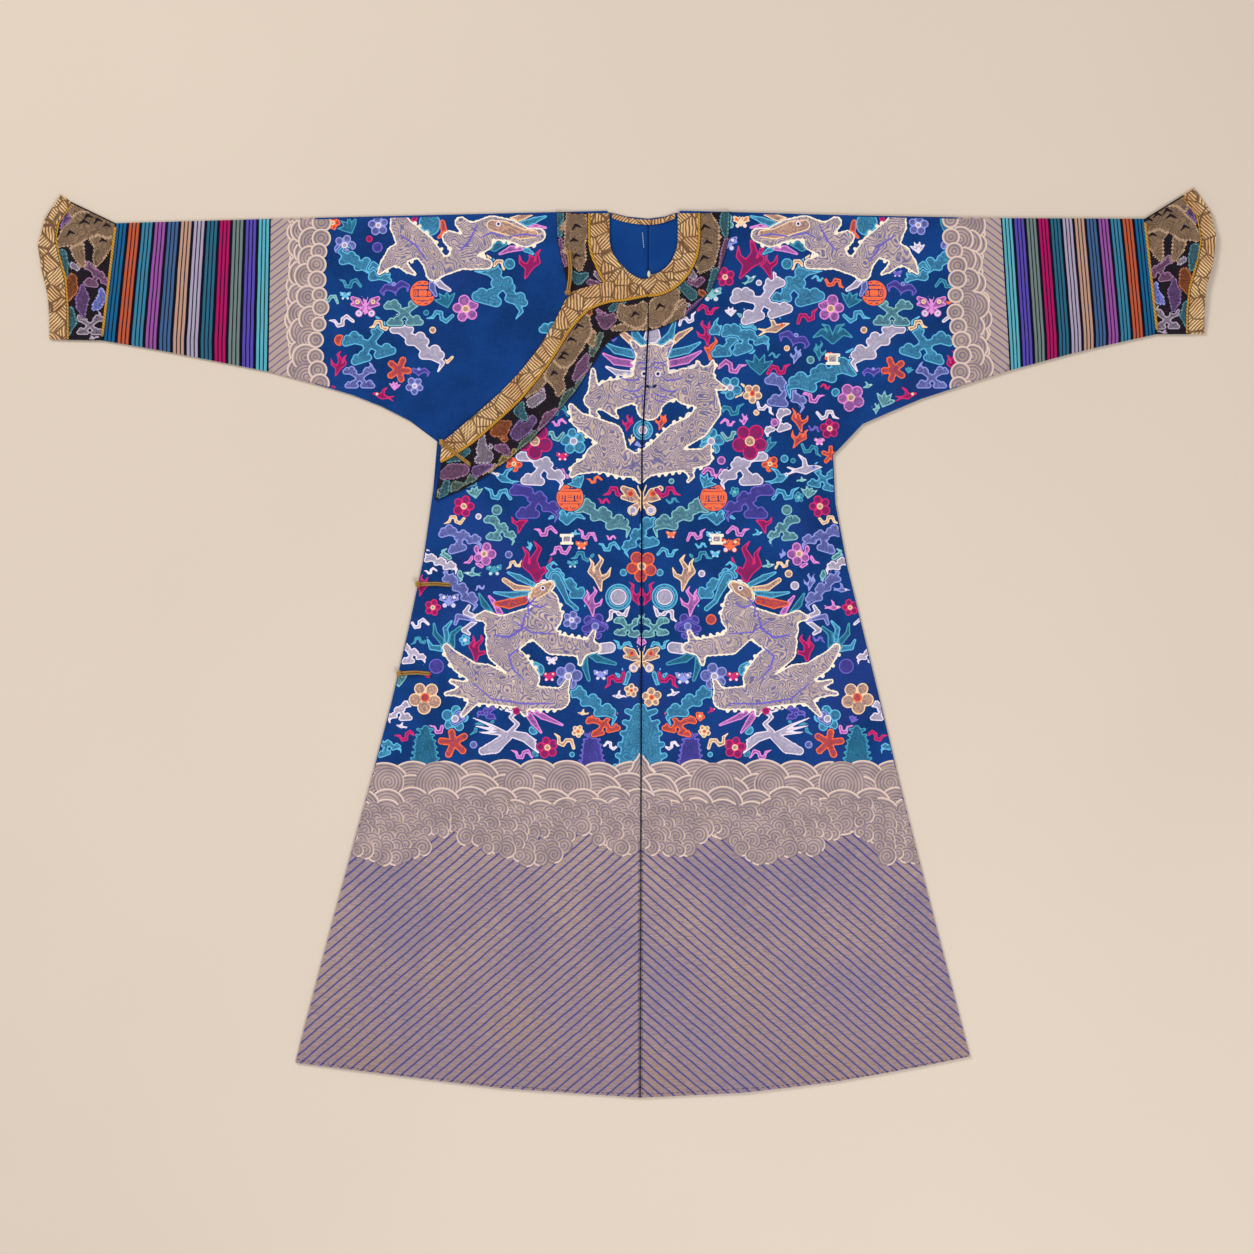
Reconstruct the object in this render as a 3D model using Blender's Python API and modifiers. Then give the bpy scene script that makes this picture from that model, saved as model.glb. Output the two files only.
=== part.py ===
"""A Chinese dragon robe laid flat, front up, with its sleeves straight out.

+X is towards the wearer's left, +Y towards the neck and +Z up. The back panels lie on the
surface at z = 0 and the front panels lie on them. Sizes and tables are in millimetres, and
each piece's points are turned to metres when its mesh is made.

Every cloth piece is an open sheet of sections with a Solidify modifier. A sheet's points are
given at the middle of its wall, and the soft folds lift all that lies above the back alike.
"""
import math

import bpy
import bmesh
import numpy as np

MM = 0.001

# Walls and gaps.
CLOTH = 1.2
TRIM = 1.0
PIPING = 1.6
SEAM = 0.3
PIPING_WIDTH = 4.0
CORD_RADIUS = 1.5
KNOT_RADIUS = 3.6
KNOT_STEPS = 6
CORD_STEPS = 5
TOGGLE_GAP = 0.6
BEAD_SIZE = (2.6, 5.5, 2.4)

# Height of the middle of each layer, from the surface up.
BACK = 0.6
LINING = 2.3
INNER_FRONT = 4.0
OUTER_FRONT = 5.8
INNER_TRIM = 5.6
OUTER_TRIM = 7.4
OUTER_PIPING = 7.7
BACK_BAND = 3.9
CLOSED_EDGE = 2.1
OVERLAP_EDGE = 3.9
OUTER_TOP = 6.4
TRIM_TOP = 8.5

# The soft folds lift what lies above FOLD_FLOOR, in full at FOLD_TOP.
FOLD_FLOOR = 1.2
FOLD_TOP = 8.5
FOLDS = {
    "x0": [-130, -290, 150, 330, -250, 300, -640, 640],
    "y0": [-250, -300, -220, -330, 330, 330, 560, 570],
    "x1": [-170, -390, 210, 430, -330, 380, -760, 770],
    "y1": [-690, -640, -680, -610, 560, 570, 590, 580],
    "width": [75, 70, 80, 70, 80, 85, 70, 70],
    "height": [3.2, 2.6, 3.4, 2.4, 2.6, 2.2, 1.6, 1.8],
}

# Centre seams, front and back: where they lie across the robe.
CENTRE = {"y": [-729, 311, 498, 700], "x": [21, 24, 34, 34]}
WAIST_Y = 311
BEND_Y = 498

# Shoulder line and the tops of the sleeves.
TOP = {
    "x": [-819, -685, -570, -107, -28, 81, 165, 341, 598, 829],
    "y": [671, 676, 678, 689, 691, 691, 689, 684, 679, 678],
}

# Underside of the sleeves, from the armpit out.
UNDERARM = {
    "right": {"x": [-840, -747, -574, -451, -390, -334, -304], "y": [484, 468, 434, 401, 377, 348, 322]},
    "left": {"x": [330, 373, 464, 613, 731, 848], "y": [300, 348, 388, 436, 468, 494]},
}

# Side seams of the skirt and the hem.
SIDES = {
    "y": [-673, -412, -252, -92, 68, 148, 228, 322],
    "right": [-531, -462, -418, -376, -339, -323, -312, -303],
    "left": [552, 484, 443, 405, 366, 346, 333, 329],
}
HEM = {
    "x": [-531, -341, -213, 22, 187, 318, 435, 552],
    "y": [-673, -697, -713, -729, -721, -706, -686, -663],
}
FLAP_SHORTER = 40
FLAP_INSET = 5
FLAP_CENTRE_GAP = 14

# Seams across the sleeves: top point and underarm point of each.
BODY_SEAM = {"right": ((-570, 678), (-574, 434)), "left": ((598, 679), (613, 436))}
CUFF_SEAM = {"right": ((-819, 671), (-840, 484)), "left": ((829, 678), (848, 494))}

# Edges of the gold cuff bindings, from the fold at the top to the underarm.
CUFF_INNER = {
    "right": {"x": [-890, -912, -917, -912, -901, -898, -898], "y": [705, 673, 648, 620, 584, 540, 485]},
    "left": {"x": [891, 914, 922, 917, 903, 899, 899], "y": [716, 684, 650, 616, 570, 532, 494]},
}
CUFF_OUTER = {
    "right": {"x": [-907, -930, -944, -939, -928, -925, -925], "y": [717, 684, 641, 604, 560, 528, 486]},
    "left": {"x": [909, 932, 944, 940, 928, 924, 925], "y": [727, 694, 655, 614, 574, 532, 495]},
}

# The neck opening: straight at the sides, a quarter ellipse to the centre seam on each side.
NECK_CENTRE_X = 34
NECK_SPRING_Y = 648
NECK_DEPTH = 60
NECK_REACH = {"right": 62, "left": 47}
BAND_DEPTH = 91
BAND_REACH = {"right": 92, "left": 79}
BAND_COVER = 3
BACK_NECK_DIP = 12
BACK_BAND_WIDTH = 8
BACK_BAND_GAP = 7
SHOULDER_Y = 684
LINING_LOW_Y = 560

# Outer edges of the dark borders, from the shoulder round and down.
YOKE_BORDER_EDGE = {"x": [-113, -112, -104, -91], "y": [686, 647, 606, 573]}
COLLAR_BORDER_EDGE = {"x": [165, 164, 155, 137, 99, 59, 34], "y": [686, 650, 611, 567, 524, 505, 498]}

# Edges of the lapel, from the centre seam to the armpit.
LAPEL_TOP = {
    "x": [34, -21, -75, -93, -101, -120, -142, -166, -198, -237, -274, -296],
    "y": [582, 580, 566, 560, 543, 505, 470, 439, 404, 369, 338, 320],
}
LAPEL_LOW = {
    "x": [34, -5, -34, -62, -82, -96, -120, -142, -176, -213, -246, -278, -299],
    "y": [558, 550, 548, 536, 517, 499, 459, 428, 387, 353, 324, 302, 291],
}
LAPEL_BORDER_EDGE = {
    "x": [34, -6, -35, -58, -82, -110, -142, -176, -208, -256, -307],
    "y": [498, 498, 478, 439, 402, 369, 332, 303, 278, 247, 227],
}

# Toggles: a knot at the first point, its cord's route to the last one, and what they lie on.
TOGGLES = {
    "lapel": {"route": [(-95, 556), (-90, 590), (-93, 628)], "on": TRIM_TOP},
    "armpit": {"route": [(-299, 322), (-274, 302), (-250, 284)], "on": TRIM_TOP},
    "side_upper": {"route": [(-338, 93), (-306, 94), (-282, 92)], "on": OUTER_TOP},
    "side_lower": {"route": [(-368, -50), (-338, -48), (-315, -50)], "on": OUTER_TOP},
}

# How finely the sheets are divided.
NECK_ANGLES = [0, 32, 62, 90]
SHOULDER_COLUMNS = 5
SLEEVE_HEAD_COLUMNS = 6
ROWS_ABOVE_BEND = 2
ROWS_BELOW_BEND = 3
SKIRT_ROWS = [0.08, 0.19, 0.30, 0.42, 0.54, 0.66, 0.77, 0.87, 0.95, 1]
TUBE_ROWS = [0, 0.18, 0.36, 0.53, 0.69, 0.84, 1]
FOLD_STEPS = 4
EDGE_COLUMN = 38

COLOURS = {
    "blue": (0.010, 0.045, 0.240),
    "striped": (0.050, 0.080, 0.200),
    "dark": (0.020, 0.018, 0.022),
    "gold": (0.620, 0.400, 0.190),
    "yellow": (0.640, 0.380, 0.060),
    "ivory": (0.780, 0.720, 0.600),
}


def read(table, column, at, along="x"):
    """The value of a table's column where its other column is `at`."""
    return float(np.interp(at, table[along], table[column]))


def fold_height(x, y):
    """How far the soft folds lift the top layer at this place."""
    total = 0.0
    for x0, y0, x1, y1, width, height in zip(*FOLDS.values()):
        length_squared = (x1 - x0) ** 2 + (y1 - y0) ** 2
        along = ((x - x0) * (x1 - x0) + (y - y0) * (y1 - y0)) / length_squared
        along = min(1.0, max(0.0, along))
        dx = x - x0 - along * (x1 - x0)
        dy = y - y0 - along * (y1 - y0)
        total += height * math.exp(-(dx * dx + dy * dy) / width ** 2)
    return total


def lift(point):
    """Raise a point with the folds under it, in metres."""
    x, y, z = point
    share = max(0.0, (z - FOLD_FLOOR) / (FOLD_TOP - FOLD_FLOOR))
    return (x * MM, y * MM, (z + share * fold_height(x, y)) * MM)


def resample(table, steps):
    """Points evenly spaced along a table's x, y line."""
    x = np.array(table["x"], dtype=float)
    y = np.array(table["y"], dtype=float)
    run = np.concatenate([[0.0], np.cumsum(np.hypot(np.diff(x), np.diff(y)))])
    at = np.linspace(0.0, run[-1], steps + 1)
    return list(zip(np.interp(at, run, x), np.interp(at, run, y)))


def mix(a, b, share):
    """A point between a and b."""
    return tuple(p + (q - p) * share for p, q in zip(a, b))


def material(colour):
    """The plain finish of one piece."""
    made = bpy.data.materials.get(colour) or bpy.data.materials.new(colour)
    made.use_nodes = True
    shader = made.node_tree.nodes["Principled BSDF"]
    shader.inputs["Base Color"].default_value = (*COLOURS[colour], 1)
    shader.inputs["Roughness"].default_value = 0.6
    shader.inputs["Metallic"].default_value = 0.0
    return made


def add_object(name, mesh, colour):
    """Put a mesh into the robe's collection with its own finish."""
    piece = bpy.data.objects.new(name, mesh)
    own = material(colour).copy()
    own.name = name
    mesh.materials.append(own)
    robe.objects.link(piece)
    return piece


def sheet(name, sections, thickness, colour):
    """Loft a sheet through its sections; None marks a point that a section leaves out."""
    mesh = bpy.data.meshes.new(name)
    bm = bmesh.new()
    rows = [[p and bm.verts.new(lift(p)) for p in section] for section in sections]
    for near, far in zip(rows, rows[1:]):
        for k in range(len(near) - 1):
            corners = [near[k], far[k], far[k + 1], near[k + 1]]
            if all(corners):
                bm.faces.new(corners)
    bmesh.ops.recalc_face_normals(bm, faces=bm.faces)
    bm.to_mesh(mesh)
    bm.free()
    mesh.shade_smooth()
    piece = add_object(name, mesh, colour)
    wall = piece.modifiers.new("wall", "SOLIDIFY")
    wall.thickness = thickness * MM
    wall.offset = 0.0
    wall.use_even_offset = True
    return piece


def fold_points(x, y, front_level):
    """A half turn over the top edge, from the back layer up to the front layer."""
    radius = (front_level - BACK) / 2
    middle = (front_level + BACK) / 2
    points = []
    for step in range(1, FOLD_STEPS):
        angle = -math.pi / 2 + math.pi * step / FOLD_STEPS
        points.append((x, y - radius + radius * math.cos(angle), middle + radius * math.sin(angle)))
    return points


def folded_section(line, front_level):
    """Back edge, back, fold, front and front edge over one line from the fold down."""
    radius = (front_level - BACK) / 2
    top_x, top_y = line[0]
    flat = [(top_x, top_y - radius)] + list(line[1:])
    back = [(x, y, BACK) for x, y in reversed(flat)]
    front = [(x, y, front_level) for x, y in flat[:-1]] + [(*flat[-1], CLOSED_EDGE)]
    return back + fold_points(top_x, top_y, front_level) + front


# ---- Half bodies -------------------------------------------------------------------------

def neck_line(side, angle, front):
    """The body's neck edge at an angle from the centre seam, 90 being the shoulder."""
    away = 1 if side == "left" else -1
    turn = math.radians(angle)
    x = NECK_CENTRE_X + away * (NECK_REACH[side] + BAND_COVER) * math.sin(turn)
    if front:
        return x, NECK_SPRING_Y - (NECK_DEPTH + BAND_COVER) * math.cos(turn)
    return x, read(TOP, "y", x) - BACK_NECK_DIP * math.cos(turn) ** 2


def armpit(side):
    """Where the side seam meets the sleeve."""
    end = 0 if side == "left" else -1
    return UNDERARM[side]["x"][end], UNDERARM[side]["y"][end]


def body_columns(side):
    """Shares of the half width, from the centre seam to the side, at the armpit."""
    width = abs(armpit(side)[0] - NECK_CENTRE_X)
    neck = (NECK_REACH[side] + BAND_COVER) / width
    shares = [neck * math.sin(math.radians(a)) for a in NECK_ANGLES]
    last = 1 - EDGE_COLUMN / width
    for step in range(1, SHOULDER_COLUMNS + 1):
        shares.append(neck + (last - neck) * step / SHOULDER_COLUMNS)
    shares.append(1.0)
    return shares


def skirt_point(side, share, down, shorter=0, inset=0, centre_gap=SEAM / 2):
    """A point of the skirt: share across from the centre seam, down from armpit to hem."""
    away = 1 if side == "left" else -1
    corner_x = read(SIDES, side, -700, "y")
    hem_x = CENTRE["x"][0] + share * (corner_x - CENTRE["x"][0])
    hem_y = read(HEM, "y", hem_x) + shorter
    start_y = WAIST_Y + share * (armpit(side)[1] - WAIST_Y)
    y = start_y + down * (hem_y - start_y)
    centre = read(CENTRE, "x", y, "y") + away * centre_gap
    edge = read(SIDES, side, y, "y") if down else armpit(side)[0]
    return centre + share * (edge - away * inset - centre), y


def yoke_line(side, share, top, end, centre_gap=SEAM / 2):
    """Points down one column from its top to the armpit level, bent where the seam bends."""
    away = 1 if side == "left" else -1
    top_x, top_y = top
    end_x, end_y = end
    even = top_y + (end_y - top_y) * ROWS_ABOVE_BEND / (ROWS_ABOVE_BEND + ROWS_BELOW_BEND)
    bend = BEND_Y + share * (even - BEND_Y)
    rows = list(np.linspace(top_y, bend, ROWS_ABOVE_BEND + 1))
    rows += list(np.linspace(bend, end_y, ROWS_BELOW_BEND + 1))[1:]
    if share == 0:
        return [(read(CENTRE, "x", y, "y") + away * centre_gap, float(y)) for y in rows]
    return [(top_x + (end_x - top_x) * (y - top_y) / (end_y - top_y), float(y)) for y in rows]


def half_body(name, side, front_level):
    """One loom width: back and front, folded over the shoulder, with the sleeve head."""
    shares = body_columns(side)
    flap = side == "right"
    gap = FLAP_CENTRE_GAP if flap else SEAM / 2
    cut = {"shorter": FLAP_SHORTER, "inset": FLAP_INSET} if flap else {}
    yoke_rows = ROWS_ABOVE_BEND + ROWS_BELOW_BEND
    sections = []
    for column, share in enumerate(shares):
        in_neck = column < len(NECK_ANGLES) - 1
        back_skirt = [skirt_point(side, share, down) for down in [0] + SKIRT_ROWS]
        front_skirt = [skirt_point(side, share, down, centre_gap=gap, **cut) for down in [0] + SKIRT_ROWS]
        if in_neck:
            back_top, front_top = (neck_line(side, NECK_ANGLES[column], front) for front in (False, True))
        else:
            at_neck = column == len(NECK_ANGLES) - 1
            x = neck_line(side, NECK_ANGLES[-1], True)[0] if at_neck else back_skirt[0][0]
            back_top = front_top = (x, read(TOP, "y", x) - (front_level - BACK) / 2)
        back = yoke_line(side, share, back_top, back_skirt[0])[:-1] + back_skirt
        front = yoke_line(side, share, front_top, front_skirt[0], gap)[:-1] + front_skirt
        arc = fold_points(back_top[0], read(TOP, "y", back_top[0]), front_level)
        arc = [None] * len(arc) if in_neck else arc
        at_side = column == len(shares) - 1
        rise = []
        for k, (x, y) in enumerate(front):
            low = k == len(front) - 1 or (at_side and k >= yoke_rows)
            rise.append((x, y, CLOSED_EDGE if low else front_level))
        sections.append([(x, y, BACK) for x, y in reversed(back)] + arc + rise)
    (seam_top_x, _), (seam_low_x, _) = BODY_SEAM[side]
    start_x = armpit(side)[0]
    no_skirt = [None] * len(SKIRT_ROWS)
    for step in range(1, SLEEVE_HEAD_COLUMNS + 1):
        share = step / SLEEVE_HEAD_COLUMNS
        top_x = start_x + (seam_top_x - start_x) * share
        low_x = start_x + (seam_low_x - start_x) * share
        top = (top_x, read(TOP, "y", top_x))
        line = yoke_line(side, 1, top, (low_x, read(UNDERARM[side], "y", low_x)))
        sections.append(no_skirt + folded_section(line, front_level) + no_skirt)
    return sheet(name, sections, CLOTH, "blue")


# ---- Overlap -----------------------------------------------------------------------------

def overlap():
    """The outer right front, ruled from its lapel and side edge to the centre seam."""
    rows_to_bend, rows_to_waist = 5, 7
    lapel_steps = rows_to_bend + rows_to_waist
    side_rows = len(SKIRT_ROWS)
    edge = [(x, y, OUTER_FRONT) for x, y in resample(LAPEL_TOP, lapel_steps)]
    edge[0] = (NECK_CENTRE_X - 8, LAPEL_TOP["y"][0] - 1, OUTER_FRONT)
    seam_y = list(np.linspace(LAPEL_TOP["y"][0] - 1, BEND_Y, rows_to_bend + 1))
    seam_y += list(np.linspace(BEND_Y, WAIST_Y, rows_to_waist + 1))[1:]
    start = edge[-1]
    hem_y = read(HEM, "y", HEM["x"][0])
    for row in range(side_rows):
        down = SKIRT_ROWS[row]
        y = start[1] + down * (hem_y - start[1])
        edge.append((read(SIDES, "right", y, "y"), y, OVERLAP_EDGE))
        seam_y.append(seam_y[lapel_steps] + down * (HEM["y"][3] - seam_y[lapel_steps]))
    sections = []
    columns = 8
    for row, (x, y, level) in enumerate(edge):
        seam = (read(CENTRE, "x", seam_y[row], "y") - SEAM / 2, seam_y[row])
        width = math.hypot(seam[0] - x, seam[1] - y)
        first = min(EDGE_COLUMN / width, 1 / columns)
        at_hem = row == len(edge) - 1
        section = []
        for column in range(columns + 1):
            share = 0 if column == 0 else first + (1 - first) * (column - 1) / (columns - 1)
            px, py = mix((x, y), seam, share)
            if at_hem:
                py = read(HEM, "y", px)
            height = level if column == 0 else OUTER_FRONT
            section.append((px, py, CLOSED_EDGE if at_hem else height))
        sections.append(section)
    return sheet("overlap", sections, CLOTH, "blue")


# ---- Sleeves and cuffs -------------------------------------------------------------------

def seam_line(seam, side, shift):
    """Points down a seam across the sleeve, moved towards the cuff by shift."""
    away = 1 if side == "left" else -1
    top, low = seam
    return [(mix(top, low, v)[0] + away * shift, mix(top, low, v)[1]) for v in TUBE_ROWS]


def curve_line(table, side, shift):
    """Points down a curved edge of the cuff, moved towards the hand by shift."""
    away = 1 if side == "left" else -1
    run = np.linspace(0, 1, len(table["x"]))
    return [
        (float(np.interp(v, run, table["x"])) + away * shift, float(np.interp(v, run, table["y"])))
        for v in TUBE_ROWS
    ]


def tube(name, near, far, stations, front_level, colour, underarm=None):
    """A flattened tube between two lines across the sleeve, folded along its top."""
    sections = []
    for step in range(stations + 1):
        share = step / stations
        line = [mix(a, b, share) for a, b in zip(near, far)]
        if underarm:
            low_x, low_y = line[-1]
            bend = read(underarm, "y", low_x) - low_y
            line = [(x, y + bend * v) for (x, y), v in zip(line, TUBE_ROWS)]
        sections.append(folded_section(line, front_level))
    return sheet(name, sections, CLOTH, colour)


def sleeve_and_cuff(side, front_level):
    """Striped sleeve extension, horse-hoof cuff, gold binding and the piping on the seam."""
    half = SEAM / 2
    body_line = seam_line(BODY_SEAM[side], side, half)
    tube("sleeve_" + side, body_line, seam_line(CUFF_SEAM[side], side, -half), 5,
         front_level, "striped", UNDERARM[side])
    cuff_line = seam_line(CUFF_SEAM[side], side, half)
    tube("cuff_" + side, cuff_line, curve_line(CUFF_INNER[side], side, -half), 2,
         front_level, "dark")
    tube("cuff_band_" + side, curve_line(CUFF_INNER[side], side, half),
         curve_line(CUFF_OUTER[side], side, 0), 1, front_level, "gold")
    level = front_level + CLOTH / 2 + 0.5 + TRIM / 2
    inset = 6
    sections = []
    for v in np.linspace(0, 1, 8):
        x, y = mix(*CUFF_SEAM[side], v)
        y -= inset * (1 - 2 * v)
        sections.append([(x - PIPING_WIDTH / 2, y, level), (x + PIPING_WIDTH / 2, y, level)])
    sheet("cuff_piping_" + side, sections, TRIM, "yellow")


# ---- Neck --------------------------------------------------------------------------------

def ring_edge(side, reach, depth, start, end, steps):
    """An edge of the neck's rings: down from the shoulder, then round to the centre seam."""
    away = 1 if side == "left" else -1
    points = []
    spring = 2
    for step in range(spring):
        y = start + (NECK_SPRING_Y - start) * step / spring
        points.append((NECK_CENTRE_X + away * (reach + SEAM / 2), y))
    for step in range(steps + 1):
        turn = math.radians(90 + (end - 90) * step / steps)
        x = NECK_CENTRE_X + away * (reach * math.sin(turn) + SEAM / 2)
        points.append((x, NECK_SPRING_Y - depth * math.cos(turn)))
    return points


def strip(name, inner, outer, level, thickness, colour, columns=1):
    """A flat strip between two edges that have the same number of points."""
    sections = [
        [(*mix(a, b, k / columns), level) for k in range(columns + 1)]
        for a, b in zip(inner, outer)
    ]
    return sheet(name, sections, thickness, colour)


def neck(side, band_level, border_level, end_inner, end_outer):
    """Gold band, yellow piping and dark border round one side of the neck."""
    steps = 10
    reach = BAND_REACH[side]
    inner = ring_edge(side, NECK_REACH[side], NECK_DEPTH, SHOULDER_Y, end_inner, steps)
    outer = ring_edge(side, reach, BAND_DEPTH, SHOULDER_Y, end_outer, steps)
    strip("neck_band_" + side, inner, outer, band_level, TRIM, "gold", 2)
    near, far = SEAM, SEAM + PIPING_WIDTH
    piping_in = ring_edge(side, reach + near, BAND_DEPTH + near, SHOULDER_Y, end_outer, steps)
    piping_out = ring_edge(side, reach + far, BAND_DEPTH + far, SHOULDER_Y, end_outer, steps)
    strip("neck_piping_" + side, piping_in, piping_out, band_level + 0.3, PIPING, "yellow")
    clear = far + SEAM
    border_in = ring_edge(side, reach + clear, BAND_DEPTH + clear, SHOULDER_Y, end_outer, steps)
    table = YOKE_BORDER_EDGE if side == "right" else COLLAR_BORDER_EDGE
    border_out = resample(table, len(border_in) - 1)
    if side == "left":
        border_out[-1] = (NECK_CENTRE_X + SEAM / 2, border_out[-1][1])
    name = "yoke_border" if side == "right" else "collar_border"
    strip(name, border_in, border_out, border_level, TRIM, "dark", 2)


def neck_back():
    """The lining inside the back, and the inner face of the band at the back of the neck."""
    right_x, right_y = neck_line("right", 90, False)
    left_x, left_y = neck_line("left", 90, False)
    dip = {
        "x": [right_x - 32, right_x, NECK_CENTRE_X, left_x, left_x + 32],
        "y": [right_y - 10, right_y - 10, right_y - BACK_NECK_DIP - 1, left_y - 10, left_y - 10],
    }
    lining = []
    band_inner = []
    band_outer = []
    steps = 14
    for step in range(steps + 1):
        x = dip["x"][0] + (dip["x"][-1] - dip["x"][0]) * step / steps
        top = read(dip, "y", x)
        lining.append([(x, y, LINING) for y in np.linspace(LINING_LOW_Y, top, 4)])
    for step in range(steps + 1):
        x = right_x + BACK_BAND_GAP + (left_x - right_x - 2 * BACK_BAND_GAP) * step / steps
        across = (x - NECK_CENTRE_X) / (NECK_REACH["right"] if x < NECK_CENTRE_X else NECK_REACH["left"])
        top = right_y - 2 - BACK_NECK_DIP * (1 - across ** 2)
        band_outer.append((x, top))
        band_inner.append((x, top - BACK_BAND_WIDTH))
    sheet("back_lining", lining, TRIM, "blue")
    strip("neck_band_back", band_inner, band_outer, BACK_BAND, TRIM, "gold")


# ---- Lapel -------------------------------------------------------------------------------

def moved_out(line, over, distance):
    """A line moved sideways, away from the line over it."""
    moved = []
    for k, (x, y) in enumerate(line):
        before = line[max(k - 1, 0)]
        after = line[min(k + 1, len(line) - 1)]
        dx, dy = after[0] - before[0], after[1] - before[1]
        length = math.hypot(dx, dy)
        nx, ny = -dy / length, dx / length
        if nx * (x - over[k][0]) + ny * (y - over[k][1]) < 0:
            nx, ny = -nx, -ny
        moved.append((x + nx * distance, y + ny * distance))
    moved[0] = (NECK_CENTRE_X - SEAM / 2, moved[0][1])
    return moved


def lapel():
    """Gold band, yellow piping and dark border down the edge of the overlap."""
    steps = 22
    top = resample(LAPEL_TOP, steps)
    low = resample(LAPEL_LOW, steps)
    top[0] = (NECK_CENTRE_X - SEAM / 2, top[0][1])
    low[0] = (NECK_CENTRE_X - SEAM / 2, low[0][1])
    strip("lapel_band", top, low, OUTER_TRIM, TRIM, "gold", 2)
    far = SEAM + PIPING_WIDTH
    piping_in = moved_out(low, top, SEAM)
    piping_out = moved_out(low, top, far)
    strip("lapel_piping", piping_in, piping_out, OUTER_PIPING, PIPING, "yellow")
    border_in = moved_out(low, top, far + SEAM)
    border_out = resample(LAPEL_BORDER_EDGE, steps)
    border_out[0] = (NECK_CENTRE_X - SEAM / 2, border_out[0][1])
    strip("lapel_border", border_in, border_out, OUTER_TRIM, TRIM, "dark", 2)


# ---- Bead and toggles --------------------------------------------------------------------

def bead(name, x, y, rest, size, colour):
    """A rounded bead resting just above the cloth."""
    mesh = bpy.data.meshes.new(name)
    bm = bmesh.new()
    bmesh.ops.create_uvsphere(bm, u_segments=10, v_segments=6, radius=1.0)
    centre = lift((x, y, rest + TOGGLE_GAP))
    for vert in bm.verts:
        vert.co.x = centre[0] + vert.co.x * size[0] * MM
        vert.co.y = centre[1] + vert.co.y * size[1] * MM
        vert.co.z = centre[2] + (vert.co.z + 1) * size[2] * MM
    bm.to_mesh(mesh)
    bm.free()
    mesh.shade_smooth()
    return add_object(name, mesh, colour)


def knotted_cord(name, route, rest):
    """A short cord lying on the cloth, swollen into a round knot over its first stretch."""
    run = [math.dist(route[0], point) for point in route]
    knot = [KNOT_RADIUS * 2 * step / KNOT_STEPS for step in range(KNOT_STEPS + 1)]
    rest_of_it = list(np.linspace(knot[-1] + 3, run[-1], CORD_STEPS))
    curve = bpy.data.curves.new(name, "CURVE")
    curve.dimensions = "3D"
    curve.bevel_depth = MM
    curve.bevel_resolution = 1
    curve.use_fill_caps = True
    spline = curve.splines.new("POLY")
    spline.points.add(len(knot) + len(rest_of_it) - 1)
    for point, at in zip(spline.points, knot + rest_of_it):
        x = float(np.interp(at, run, [p[0] for p in route]))
        y = float(np.interp(at, run, [p[1] for p in route]))
        swell = math.sqrt(max(0.0, 1 - (at / KNOT_RADIUS - 1) ** 2)) if at <= knot[-1] else 0
        radius = max(CORD_RADIUS, KNOT_RADIUS * swell)
        centre = lift((x, y, rest + TOGGLE_GAP))
        point.co = (centre[0], centre[1], centre[2] + radius * MM, 1)
        point.radius = radius
    piece = bpy.data.objects.new(name, curve)
    own = material("yellow").copy()
    own.name = name
    curve.materials.append(own)
    robe.objects.link(piece)
    return piece


def toggles():
    """The bead at the neck, and a knotted cord at each place where the overlap closes."""
    bead("neck_button", NECK_CENTRE_X + 1, 589, TRIM_TOP, BEAD_SIZE, "ivory")
    for place, toggle in TOGGLES.items():
        knotted_cord("toggle_" + place, toggle["route"], toggle["on"])


# ---- The robe ----------------------------------------------------------------------------

for old in list(bpy.data.objects):
    bpy.data.objects.remove(old, do_unlink=True)
robe = bpy.data.collections.new("chinese_dragon_robe")
bpy.context.scene.collection.children.link(robe)

half_body("body_left", "left", OUTER_FRONT)
half_body("body_right", "right", INNER_FRONT)
overlap()
sleeve_and_cuff("left", OUTER_FRONT)
sleeve_and_cuff("right", INNER_FRONT)
neck("left", OUTER_TRIM, OUTER_TRIM, 0, 0)
neck("right", INNER_TRIM, INNER_TRIM, 8, 44)
neck_back()
lapel()
toggles()
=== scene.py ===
"""Chinese dragon robe, laid flat: its silks, woven figures, trims and stitches.

+X is towards the wearer's left, +Y towards the neck and +Z up. The figures are laid out in
millimetres: their outlines are distance fields, cut into small faces and draped on the silk.
"""
import math
import random

import bpy
import bmesh
import numpy as np
from mathutils import Matrix, Vector
from mathutils.bvhtree import BVHTree


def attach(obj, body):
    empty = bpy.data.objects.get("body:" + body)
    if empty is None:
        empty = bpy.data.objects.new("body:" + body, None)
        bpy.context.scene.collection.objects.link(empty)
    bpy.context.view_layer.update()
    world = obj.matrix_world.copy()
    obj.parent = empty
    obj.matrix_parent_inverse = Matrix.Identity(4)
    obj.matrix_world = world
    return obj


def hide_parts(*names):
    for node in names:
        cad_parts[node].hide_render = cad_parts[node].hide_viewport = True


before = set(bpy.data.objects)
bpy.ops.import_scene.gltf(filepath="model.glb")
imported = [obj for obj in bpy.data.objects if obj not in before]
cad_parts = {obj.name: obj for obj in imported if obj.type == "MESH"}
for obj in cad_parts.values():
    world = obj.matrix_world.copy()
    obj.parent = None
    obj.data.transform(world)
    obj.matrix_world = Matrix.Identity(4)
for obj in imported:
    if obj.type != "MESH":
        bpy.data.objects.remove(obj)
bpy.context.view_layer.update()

MM = 0.001
# The centre seam, in millimetres: at the hem, the waist, the bend under the neck and the shoulder.
SEAM = {"y": [-729, 311, 498, 700], "x": [21, 24, 34, 34]}
scene = bpy.context.scene
scene.view_settings.view_transform = "Standard"

# ---- Colours of the silks, as the eye sees them -----------------------------------------

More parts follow.
